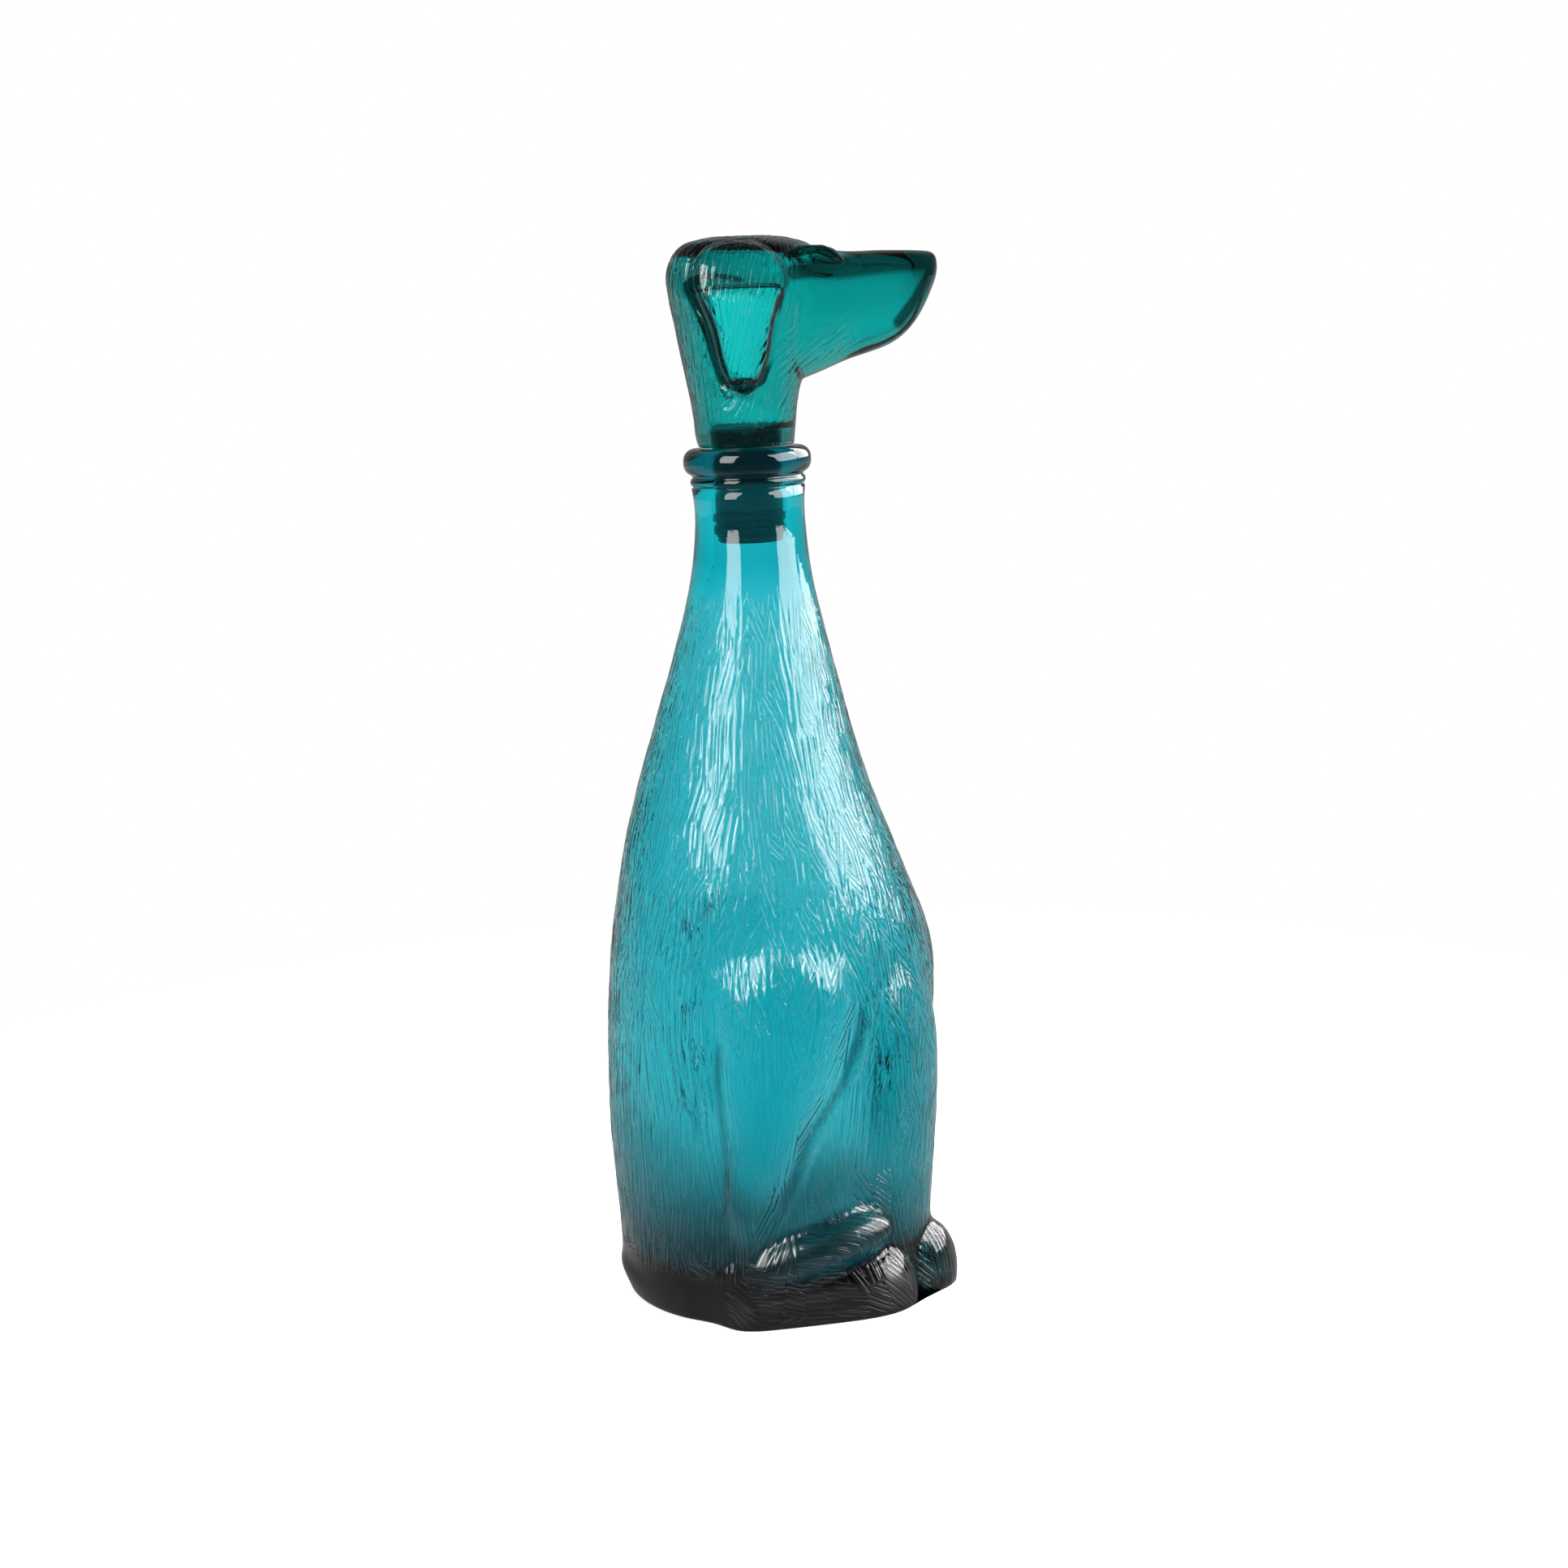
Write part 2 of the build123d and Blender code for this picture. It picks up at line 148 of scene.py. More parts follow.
class StopperSettings(bpy.types.PropertyGroup):
    """Sizes and colours of the plug, its sleeve and the glue."""

    plug_colour: FloatVectorProperty(
        name="Plug colour", description="Colour of the plug's plastic", subtype="COLOR", default=(0.018, 0.045, 0.05)
    )
    sleeve_colour: FloatVectorProperty(
        name="Sleeve colour", description="Colour of the soft sleeve", subtype="COLOR", default=(0.008, 0.022, 0.026)
    )
    glue_colour: FloatVectorProperty(
        name="Glue colour", description="Colour of the glue", subtype="COLOR", default=(0.004, 0.02, 0.02)
    )


class StageSettings(bpy.types.PropertyGroup):
    """The camera, the floor and the lamps."""

    camera_distance: FloatProperty(
        name="Camera distance", description="From the axis of the neck", default=0.800, unit="LENGTH"
    )
    camera_height: FloatProperty(
        name="Camera height", description="Above the table", default=0.3368, unit="LENGTH"
    )
    camera_shift: FloatProperty(
        name="Camera side step", description="To the right of the axis", default=0.008, unit="LENGTH"
    )
    camera_turn: FloatProperty(
        name="Camera turn", description="Round the dog from its side, in degrees", default=11.0
    )
    camera_pitch: FloatProperty(name="Camera pitch", description="Downwards, in degrees", default=11.02)
    camera_roll: FloatProperty(name="Camera roll", description="Round its own axis, in degrees", default=2.4)
    camera_lens: FloatProperty(name="Lens", description="Focal length in millimetres", default=52.96)
    floor_size: FloatProperty(name="Floor", description="Width of the floor", default=6.0, unit="LENGTH")
    lamp_radiance: FloatProperty(name="Lamp radiance", description="Brightness of the soft boxes", default=7.6)


def cad_mesh(node):
    """A merged copy of a CAD node's mesh, as a bmesh."""
    bm = bmesh.new()
    bm.from_mesh(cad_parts[node].data)
    bmesh.ops.remove_doubles(bm, verts=bm.verts, dist=WELD)
    return bm


def cad_tree(node):
    """A CAD node's surface, for casting rays at it."""
    bm = cad_mesh(node)
    tree = BVHTree.FromBMesh(bm)
    bm.free()
    return tree


def hit(tree, start, direction):
    """Where a ray meets a surface."""
    place = tree.ray_cast(start, direction)[0]
    if place is None:
        raise RuntimeError(f"no surface seen from {tuple(start)}")
    return place


def around(azimuth):
    """The level direction at an azimuth."""
    return Vector((math.cos(azimuth), math.sin(azimuth), 0))


def blurred(grid, rounds, along_rows=False):
    """Soften a grid of places, round the closed rows, and up the columns too if asked."""
    for _ in range(rounds):
        grid = (np.roll(grid, 1, axis=1) + 2 * grid + np.roll(grid, -1, axis=1)) / 4
        if along_rows:
            inner = (grid[:-2] + 2 * grid[1:-1] + grid[2:]) / 4
            grid = np.concatenate([grid[:1], inner, grid[-1:]])
    return grid


def grid_normals(grid):
    """Outward normals of a grid of places whose rows go up and whose columns go round."""
    round_way = np.roll(grid, -1, axis=1) - np.roll(grid, 1, axis=1)
    up_way = np.gradient(grid, axis=0)
    normals = np.cross(round_way, up_way)
    return normals / np.linalg.norm(normals, axis=2, keepdims=True)


def smoothstep(low, high, value):
    """Nought below low, one above high, and smooth between."""
    part = np.clip((value - low) / (high - low), 0, 1)
    return part * part * (3 - 2 * part)


def scattered(*numbers):
    """A repeatable scattered value from nought to one for each set of whole numbers."""
    mixed = sum(number * factor for number, factor in zip(numbers, (12.9898, 78.233, 37.719)))
    return np.modf(np.abs(np.sin(mixed + 0.5) * 43758.5453))[0]


def closed_tube(bm, rows, columns, level):
    """Bend a flat grid into a closed tube, each row at the height of its number."""
    made = bmesh.ops.create_grid(bm, x_segments=columns, y_segments=rows - 1, size=1)["verts"]
    seam = []
    for vert in made:
        column = round((vert.co.x + 1) / 2 * columns)
        row = round((vert.co.y + 1) / 2 * (rows - 1))
        vert.co = around(math.tau * column / columns) + UP * (level + row)
        if column in (0, columns):
            seam.append(vert)
    bmesh.ops.remove_doubles(bm, verts=seam, dist=MM)
    grid = [[None] * columns for _ in range(rows)]
    for vert in bm.verts:
        row = round(vert.co.z) - level
        if 0 <= row < rows:
            column = round(math.atan2(vert.co.y, vert.co.x) / math.tau * columns) % columns
            grid[row][column] = vert
    return grid


def seat(grid, places):
    """Move a grid of vertices to its places."""
    for verts, row in zip(grid, places.tolist()):
        for vert, place in zip(verts, row):
            vert.co = place


def row_edges(bm, row):
    """The edges of one closed row of a tube."""
    return [bm.edges.get(pair) for pair in zip(row, row[1:] + row[:1])]


def outside_places(tree, heights, columns, lean_height):
    """Places on the body's outside: rays come in level up high, and slant down on the feet and the tail."""
    places = np.zeros((len(heights), columns, 3))
    foot_radii = []
    for column in range(columns):
        out = around(math.tau * column / columns)
        place = hit(tree, out * FAR + UP * 0.5 * MM, -out)
        foot_radii.append(place.to_2d().length)
    radii = blurred(np.array([foot_radii])[:, :, None], 4)[0, :, 0]
    for row, height in enumerate(heights):
        slope = max(0.0, 1 - height / lean_height)
        for column in range(columns):
            out = around(math.tau * column / columns)
            through = out * float(radii[column]) + UP * height
            way = out + UP * slope
            place = tree.ray_cast(through + way * FAR, -way)[0]
            places[row, column] = place or hit(tree, out * FAR + UP * height, -out)
    return places


def hollow_places(tree, heights, columns, floor_middle, dips):
    """Places on the bottle's inner wall, going down from the bore and then round the floor."""
    places = np.zeros((len(heights) + len(dips), columns, 3))
    for row, height in enumerate(heights):
        for column in range(columns):
            places[row, column] = hit(tree, UP * height, around(math.tau * column / columns))
    for row, dip in enumerate(dips, len(heights)):
        for column in range(columns):
            way = around(math.tau * column / columns) * math.cos(dip) - UP * math.sin(dip)
            places[row, column] = hit(tree, UP * floor_middle, way)
    return places


def thinned(tree, places, wall, level, top):
    """Move a hollow's wall out between two levels where the glass is thicker than the usual wall, as in the feet."""
    for row in places:
        for number, place in enumerate(row.tolist()):
            place = Vector(place)
            out = Vector((place.x, place.y, 0)).normalized()
            far = tree.ray_cast(place + out * WELD, out)[0]
            if far is None or not level < place.z < top:
                continue
            share = smoothstep(level, level + wall, place.z) * (1 - smoothstep(top - 3 * wall, top, place.z))
            extra = max(0.0, (far - place).length - wall) * float(share)
            for _ in range(6):
                above = tree.ray_cast(place + out * extra, UP)[0]
                if above is not None and (above - place - out * extra).length < wall:
                    extra *= 0.7
            row[number] = place + out * extra
    return places


def ring_places(profile, columns):
    """Places of a round profile, given as pairs of radius and height."""
    turns = np.arange(columns) * math.tau / columns
    rows = [
        np.stack([radius * np.cos(turns), radius * np.sin(turns), np.full(columns, height)], axis=1)
        for radius, height in profile
    ]
    return np.array(rows)


def arc(centre, radius, start, end, steps):
    """Points of an arc in a profile, angles in degrees."""
    angles = [math.radians(start + (end - start) * step / steps) for step in range(steps + 1)]
    return [(centre[0] + radius * math.cos(a), centre[1] + radius * math.sin(a)) for a in angles]


def lock_middles(places, usable, spread, stretch, seed):
    """Pick the middles of the locks of hair: one place in each cell of a loose lattice."""
    generator = np.random.default_rng(seed)
    order = generator.permutation(np.flatnonzero(usable))
    cells = np.floor(places[order] * stretch / spread).astype(int)
    first = np.unique(cells, axis=0, return_index=True)[1]
    return order[np.sort(first)]


def nearest_lock(places, middles, stretch):
    """The number of the lock that each place belongs to."""
    tree = KDTree(len(middles))
    for number, middle in enumerate((middles * stretch).tolist()):
        tree.insert(middle, number)
    tree.balance()
    return np.array([tree.find(place)[1] for place in (places * stretch).tolist()])


def combed(places, lock, middles, across, along):
    """How far each place lies across and along the hair of its lock, in millimetres."""
    offset = (places - middles[lock]) / MM
    return np.einsum("ij,ij->i", offset, across[lock]), np.einsum("ij,ij->i", offset, along[lock])


def turned(vectors, normals, angles):
    """Vectors turned about their normals by angles."""
    cosine = np.cos(angles)[:, None]
    sine = np.sin(angles)[:, None]
    return vectors * cosine + np.cross(normals, vectors) * sine


def flattened(vectors, normals):
    """Vectors laid into the surface, with length one."""
    vectors = vectors - np.einsum("ij,ij->i", vectors, normals)[:, None] * normals
    return vectors / np.maximum(np.linalg.norm(vectors, axis=1, keepdims=True), 1e-9)


def line_distance(places, line):
    """How far each flat place lies from a line of points."""
    nearest = np.full(len(places), np.inf)
    for start, end in zip(line, line[1:]):
        run = np.subtract(end, start)
        share = np.clip((places - start) @ run / (run @ run), 0, 1)
        nearest = np.minimum(nearest, np.linalg.norm(places - start - share[:, None] * run, axis=1))
    return nearest


def depth_inside(places, loop):
    """How far each flat place lies inside a closed loop of points, and negative outside it."""
    inside = np.zeros(len(places), bool)
    for (x1, z1), (x2, z2) in zip(loop, loop[1:] + loop[:1]):
        crosses = (z1 > places[:, 1]) != (z2 > places[:, 1])
        where = x1 + (places[:, 1] - z1) * (x2 - x1) / (z2 - z1 if z2 != z1 else 1)
        inside ^= crosses & (places[:, 0] < where)
    return line_distance(places, loop + loop[:1]) * np.where(inside, 1, -1)


def stroke(places, line, width):
    """A soft painted line: one on the line, and nought past its width."""
    return 1 - smoothstep(0.35 * width, width, line_distance(places, line))


def groove_heights(across, along, lock, pitch, length):
    """Height from minus one to one of the carved grooves, which start and stop along each hair."""
    strand = np.round(across / pitch)
    begin = scattered(lock, strand)
    run = 0.5 + 0.5 * np.sin(math.tau * (along / length + begin))
    return np.cos(math.tau * across / pitch) * smoothstep(0.1, 0.5, run)


def hair_layers(mesh, places, lock, middles, across, along, feather, coat, shade, frost):
    """Store the hair's coordinates on the faces, and each vertex's hair, painted shade and frost."""
    corner_verts = np.zeros(len(mesh.loops), int)
    mesh.loops.foreach_get("vertex_index", corner_verts)
    starts = np.zeros(len(mesh.polygons), int)
    mesh.polygons.foreach_get("loop_start", starts)
    totals = np.zeros(len(mesh.polygons), int)
    mesh.polygons.foreach_get("loop_total", totals)
    face_lock = np.repeat(lock[corner_verts[starts]], totals)
    u, v = combed(places[corner_verts], face_lock, middles, across, along)
    spread = feather[face_lock]
    u, v = np.where(spread > 0, np.abs(u), u) * np.cos(spread) + v * np.sin(spread), v
    layer = mesh.uv_layers.new(name="hair")
    values = np.stack([u + 40 * face_lock, v + 60 * face_lock], axis=1)
    layer.data.foreach_set("uv", values.astype(np.float32).ravel())
    # The shade attribute holds painted shade, and on the head also the glue's band
    for label, value in (("coat", coat), ("shade", shade), ("frost", frost)):
        attribute = mesh.attributes.new(label, "FLOAT", "POINT")
        attribute.data.foreach_set("value", value.astype(np.float32))


def vertex_array(mesh, what="co"):
    """The mesh's vertices, or their normals, as an array."""
    values = np.zeros(len(mesh.vertices) * 3)
    if what == "co":
        mesh.vertices.foreach_get("co", values)
    else:
        mesh.vertex_normals.foreach_get("vector", values)
    return values.reshape(-1, 3)


def finished_piece(name, bm, body, node, smooth=True):
    """Turn a bmesh into a piece that stands for a CAD node."""
    mesh = bpy.data.meshes.new(name)
    bm.to_mesh(mesh)
    bm.free()
    mesh.shade_smooth() if smooth else mesh.shade_flat()
    piece = bpy.data.objects.new(name, mesh)
    bpy.context.scene.collection.objects.link(piece)
    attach(piece, body)
    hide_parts(node)
    return piece


def new_group(name, inputs, outputs):
    """Start a shader node group with its sockets, and return it with its ends."""
    group = bpy.data.node_groups.new(name, "ShaderNodeTree")
    for label, kind, value in inputs:
        socket = group.interface.new_socket(label, in_out="INPUT", socket_type=kind)
        if value is not None:
            socket.default_value = value
    for label, kind in outputs:
        group.interface.new_socket(label, in_out="OUTPUT", socket_type=kind)
    return group, group.nodes.new("NodeGroupInput"), group.nodes.new("NodeGroupOutput")


def math_node(tree, operation, first, second=None, third=None):
    """Add a Math node, linking sockets and setting numbers."""
    node = tree.nodes.new("ShaderNodeMath")
    node.operation = operation
    for number, value in enumerate((first, second, third)):
        if value is None:
            continue
        if isinstance(value, bpy.types.NodeSocket):
            tree.links.new(value, node.inputs[number])
        else:
            node.inputs[number].default_value = value
    return node.outputs[0]


def noise_node(tree, vector, scale, detail=2.0, roughness=0.5):
    """Add a Noise texture on a vector."""
    node = tree.nodes.new("ShaderNodeTexNoise")
    node.inputs["Scale"].default_value = scale
    node.inputs["Detail"].default_value = detail
    node.inputs["Roughness"].default_value = roughness
    tree.links.new(vector, node.inputs["Vector"])
    return node.outputs["Fac"]


def ranged(tree, value, low, high, to_low=0.0, to_high=1.0):
    """Add a smooth Map Range node."""
    node = tree.nodes.new("ShaderNodeMapRange")
    node.interpolation_type = "SMOOTHSTEP"
    tree.links.new(value, node.inputs["Value"])
    node.inputs["From Min"].default_value = low
    node.inputs["From Max"].default_value = high
    node.inputs["To Min"].default_value = to_low
    node.inputs["To Max"].default_value = to_high
    return node.outputs["Result"]


def hair_group():
    """Fine hair in the hair's own coordinates: height, grooves for painted shade and pale strokes."""
    found = bpy.data.node_groups.get("Hair lines")
    if found:
        return found
    group, start, end = new_group(
        "Hair lines",
        [("Hair", "NodeSocketVector", None), ("Coat", "NodeSocketFloat", 1.0), ("Pitch", "NodeSocketFloat", 1.6)],
        [("Height", "NodeSocketFloat"), ("Grooves", "NodeSocketFloat"), ("Strokes", "NodeSocketFloat")],
    )
    parts = group.nodes.new("ShaderNodeSeparateXYZ")
    group.links.new(start.outputs["Hair"], parts.inputs[0])
    long_way = group.nodes.new("ShaderNodeCombineXYZ")
    group.links.new(parts.outputs["X"], long_way.inputs["X"])
    group.links.new(math_node(group, "MULTIPLY", parts.outputs["Y"], 0.07), long_way.inputs["Y"])
    wobble = noise_node(group, long_way.outputs[0], 0.25, 1.0)
    length = noise_node(group, long_way.outputs[0], 0.8, 1.0)
    dashes = noise_node(group, long_way.outputs[0], 1.3, 1.0)
    turns = math_node(group, "DIVIDE", parts.outputs["X"], start.outputs["Pitch"])
    bent = math_node(group, "MULTIPLY_ADD", wobble, 1.4, turns)
    wave = math_node(group, "SINE", math_node(group, "MULTIPLY", bent, math.tau))
    line = math_node(group, "MULTIPLY", wave, ranged(group, length, 0.36, 0.52))
    hollow = ranged(group, line, -0.2, -0.8)
    crest = math_node(group, "MULTIPLY", ranged(group, wave, 0.25, 0.8), ranged(group, dashes, 0.42, 0.52))
    coat = start.outputs["Coat"]
    thin_coat = math_node(group, "MINIMUM", coat, 1.0)
    ground = math_node(group, "SUBTRACT", 1.0, hollow)
    for value, share, label in ((ground, thin_coat, "Height"), (hollow, coat, "Grooves"), (crest, thin_coat, "Strokes")):
        group.links.new(math_node(group, "MULTIPLY", value, share), end.inputs[label])
    return group


def blown_group():
    """The slight unevenness of blown glass: slow waves, fine orange peel and a varying polish."""
    found = bpy.data.node_groups.get("Blown glass")
    if found:
        return found
    group, start, end = new_group(
        "Blown glass",
        [("Place", "NodeSocketVector", None)],
        [("Waves", "NodeSocketFloat"), ("Roughness", "NodeSocketFloat")],
    )
    slow = noise_node(group, start.outputs["Place"], 55.0, 1.0)
    fine = noise_node(group, start.outputs["Place"], 420.0, 2.0)
    waves = math_node(group, "MULTIPLY_ADD", fine, 0.12, slow)
    group.links.new(waves, end.inputs["Waves"])
    smudge = noise_node(group, start.outputs["Place"], 38.0, 4.0, 0.6)
    group.links.new(ranged(group, smudge, 0.35, 0.75, 0.004, 0.03), end.inputs["Roughness"])
    return group


def colour_mix(tree, factor, first, second):
    """Mix two colours, each a socket or a set of channels."""
    node = tree.nodes.new("ShaderNodeMix")
    node.data_type = "RGBA"
    tree.links.new(factor, node.inputs["Factor"])
    for label, value in (("A", first), ("B", second)):
        if isinstance(value, bpy.types.NodeSocket):
            tree.links.new(value, node.inputs[label])
        else:
            node.inputs[label].default_value = (*value, 1)
    return node.outputs["Result"]


def glass_material(name, sizes, hair_pitch, hair_depth, edge_shade_low, edge_shade_high):
    """Tinted glass: painted shade where the skin turns away, an absorbing inside, hair and blown waves."""
    material = bpy.data.materials.new(name)
    material.use_nodes = True
    tree = material.node_tree
    tree.nodes.clear()
    output = tree.nodes.new("ShaderNodeOutputMaterial")
    skin = tree.nodes.new("ShaderNodeBsdfPrincipled")
    skin.inputs["Metallic"].default_value = 0.0
    skin.inputs["Transmission Weight"].default_value = 1.0
    skin.inputs["IOR"].default_value = 1.5
    skin.inputs["Coat Roughness"].default_value = 0.28
    skin.inputs["Coat IOR"].default_value = 1.75
    tree.links.new(skin.outputs["BSDF"], output.inputs["Surface"])
    inside = tree.nodes.new("ShaderNodeVolumeAbsorption")
    inside.inputs["Color"].default_value = (*sizes.tint, 1)
    inside.inputs["Density"].default_value = sizes.density
    tree.links.new(inside.outputs["Volume"], output.inputs["Volume"])

    place = tree.nodes.new("ShaderNodeTexCoord").outputs["Object"]
    blown = tree.nodes.new("ShaderNodeGroup")
    blown.node_tree = blown_group()
    tree.links.new(place, blown.inputs["Place"])
    shade = tree.nodes.new("ShaderNodeAttribute")
    shade.attribute_name = "shade"
    frost = tree.nodes.new("ShaderNodeAttribute")
    frost.attribute_name = "frost"
    rough = math_node(tree, "MAXIMUM", blown.outputs["Roughness"], frost.outputs["Fac"])
    tree.links.new(rough, skin.inputs["Roughness"])

    hair = tree.nodes.new("ShaderNodeGroup")
    hair.node_tree = hair_group()
    hair_map = tree.nodes.new("ShaderNodeUVMap")
    hair_map.uv_map = "hair"
    coat = tree.nodes.new("ShaderNodeAttribute")
    coat.attribute_name = "coat"
    tree.links.new(hair_map.outputs["UV"], hair.inputs["Hair"])
    tree.links.new(coat.outputs["Fac"], hair.inputs["Coat"])
    hair.inputs["Pitch"].default_value = hair_pitch
    tree.links.new(hair.outputs["Strokes"], skin.inputs["Coat Weight"])

    wave_bump = tree.nodes.new("ShaderNodeBump")
    wave_bump.inputs["Strength"].default_value = 1.0
    wave_bump.inputs["Distance"].default_value = 0.25 * MM
    tree.links.new(blown.outputs["Waves"], wave_bump.inputs["Height"])
    hair_bump = tree.nodes.new("ShaderNodeBump")
    hair_bump.inputs["Strength"].default_value = 1.0
    hair_bump.inputs["Distance"].default_value = hair_depth
    tree.links.new(hair.outputs["Height"], hair_bump.inputs["Height"])
    tree.links.new(wave_bump.outputs["Normal"], hair_bump.inputs["Normal"])
    tree.links.new(hair_bump.outputs["Normal"], skin.inputs["Normal"])

    # Painted shade: the skin's colour darkens where it turns away
    turned_away = tree.nodes.new("ShaderNodeLayerWeight")
    turned_away.inputs["Blend"].default_value = 0.5
    tree.links.new(wave_bump.outputs["Normal"], turned_away.inputs["Normal"])
    edge_shade = ranged(tree, turned_away.outputs["Facing"], edge_shade_low, edge_shade_high)
    # Painted shade along the hair's grooves, stronger where the skin turns away
    groove_shade_share = ranged(tree, turned_away.outputs["Facing"], 0.05, 0.85, 0.10, 0.85)
    groove_shade = math_node(tree, "MULTIPLY", hair.outputs["Grooves"], groove_shade_share)
    # All painted shade, with the shade attribute's, tints only the skin seen from outside
    within = tree.nodes.new("ShaderNodeNewGeometry").outputs["Backfacing"]
    from_outside = math_node(tree, "SUBTRACT", 1.0, within)
    painted_shade = math_node(tree, "MAXIMUM", math_node(tree, "MAXIMUM", edge_shade, groove_shade), shade.outputs["Fac"])
    painted_shade = math_node(tree, "MULTIPLY", painted_shade, from_outside)
    tree.links.new(colour_mix(tree, painted_shade, sizes.surface, sizes.shade_colour), skin.inputs["Base Color"])
    return material


def plastic_material(name, colour, roughness, grain_scale, grain_depth, specks=0.0):
    """Moulded plastic or glue: uneven colour, fine grain and, for the glue, pale specks."""
    material = bpy.data.materials.new(name)
    material.use_nodes = True
    tree = material.node_tree
    skin = tree.nodes["Principled BSDF"]
    place = tree.nodes.new("ShaderNodeTexCoord").outputs["Object"]
    cloud = noise_node(tree, place, 160.0, 3.0)
    mix = tree.nodes.new("ShaderNodeMix")
    mix.data_type = "RGBA"
    mix.inputs["A"].default_value = (*[channel * 0.7 for channel in colour], 1)
    mix.inputs["B"].default_value = (*[min(1, channel * 1.35) for channel in colour], 1)
    tree.links.new(cloud, mix.inputs["Factor"])
    last = mix.outputs["Result"]
    if specks:
        dots = noise_node(tree, place, 700.0, 2.0)
        pale = tree.nodes.new("ShaderNodeMix")
        pale.data_type = "RGBA"
        pale.inputs["B"].default_value = (specks, specks, specks, 1)
        tree.links.new(ranged(tree, dots, 0.60, 0.72), pale.inputs["Factor"])
        tree.links.new(last, pale.inputs["A"])
        last = pale.outputs["Result"]
    tree.links.new(last, skin.inputs["Base Color"])
    tree.links.new(ranged(tree, cloud, 0.3, 0.7, roughness * 0.8, roughness * 1.2), skin.inputs["Roughness"])
    bump = tree.nodes.new("ShaderNodeBump")
    bump.inputs["Distance"].default_value = grain_depth
    tree.links.new(noise_node(tree, place, grain_scale, 3.0), bump.inputs["Height"])
    tree.links.new(bump.outputs["Normal"], skin.inputs["Normal"])
    return material


class DECANTER_OT_bottle(bpy.types.Operator):
    """Make the glass body with its limbs, its carved hair, its neck ring and its hollow"""

    bl_idname = "decanter.bottle"
    bl_label = "Glass body"

    ring_height = 9.4 * MM
    ring_round = 4.0 * MM
    collar_height = 4.2 * MM
    edge_round = 0.8 * MM
    punt_radius = 33.0 * MM
    punt_depth = 3.0 * MM
    foot_zone = 42.0 * MM
    bare_neck = 262.0 * MM
    plain_step = 4.0 * MM
    lean_height = 75.0 * MM
    floor_middle = 62.0 * MM
    usual_wall = 5.0 * MM
    hollow_level = 13.6 * MM
    parting = -4.0

    # Lines on a flank, forward and up in millimetres: the thigh's two creases and the tail's middle
    thigh_top = [(-28, 100), (-28, 124), (-21, 129), (-11, 131), (1, 131), (14, 130), (18, 126), (22, 119), (23, 109)]
    front_crease = [(23, 109), (22, 103), (19, 95), (14.5, 84), (2, 68), (-9, 46), (-17, 32)]
    rear_crease = [(-27, 100), (-28, 88), (-27, 71), (-27, 53), (-29, 33)]
    thigh_middle = (-2, 92)
    tail_line = [(-43, 9), (-28, 16), (-12, 22), (6, 26), (21, 29), (28, 29)]

    def execute(self, context):
        sizes = context.scene.decanter_bottle
        tree = cad_tree("bottle")
        collar_foot = lip_height - self.ring_height - self.collar_height
        bm = bmesh.new()
        heights = self.row_heights(sizes, collar_foot)
        outside = closed_tube(bm, len(heights), sizes.columns, 0)
        places = outside_places(tree, heights[1:], sizes.columns, self.lean_height)
        places = blurred(places, 3, along_rows=True)
        soft = blurred(places, 160, along_rows=True)
        heel = 1 - smoothstep(8, 16, np.abs(places[..., 0] / MM + 30))
        heel *= smoothstep(34, 40, np.abs(places[..., 1]) / MM) * (1 - smoothstep(14, 24, places[..., 2] / MM))
        places += (soft - places) * (heel * [[[1]], [[1]], [[0]]]).transpose(1, 2, 0)
        foot = places[:1].copy()
        foot[..., 2] = 0
        foot[..., :2] *= 1 - self.edge_round / 2 / bottle_high.x
        places = np.concatenate([foot, places])
        places[-1, :, 2] = collar_foot

        few = sizes.columns // 4
        inside = self.inner_places(tree, few, collar_foot)
        lining = closed_tube(bm, len(inside), few, 2 * len(heights))
        under = self.under_places(foot[0, ::4])
        sole = closed_tube(bm, len(under), few, 8 * len(heights))
        normals = grid_normals(places)
        hair = self.comb(places.reshape(-1, 3), normals.reshape(-1, 3), sizes)
        seat(outside, (places.reshape(-1, 3) + normals.reshape(-1, 3) * hair["rise"][:, None]).reshape(places.shape))
        seat(lining, inside)
        seat(sole, under)
        bmesh.ops.bridge_loops(bm, edges=row_edges(bm, outside[-1]) + row_edges(bm, lining[0]))
        bmesh.ops.bridge_loops(bm, edges=row_edges(bm, outside[0]) + row_edges(bm, sole[0]))
        for rim in (lining[-1], sole[-1]):
            bmesh.ops.holes_fill(bm, edges=row_edges(bm, rim), sides=0)
        bmesh.ops.recalc_face_normals(bm, faces=bm.faces)
        numbers = self.numbering(bm, outside)
        piece = finished_piece("bottle_glass", bm, "bottle", "bottle")
        self.store_hair(piece.data, numbers, hair)
        piece.data.materials.append(
            glass_material("teal glass", sizes, sizes.hair_pitch, 0.24 * MM, 0.74, 0.98)
        )
        return {"FINISHED"}

    def row_heights(self, sizes, collar_foot):
        """Heights of the rows of the outside, close together by the feet."""
        heights = [0.0, 0.4 * MM]
        while heights[-1] < self.foot_zone:
            heights.append(heights[-1] + sizes.low_step)
        while heights[-1] < self.bare_neck:
            heights.append(heights[-1] + sizes.high_step)
        rest = math.ceil((collar_foot - heights[-1]) / self.plain_step)
        step = (collar_foot - heights[-1]) / rest
        heights.extend(heights[-1] + step for _ in range(1))
        while len(heights) and heights[-1] < collar_foot - step / 2:
            heights.append(heights[-1] + step)
        return heights

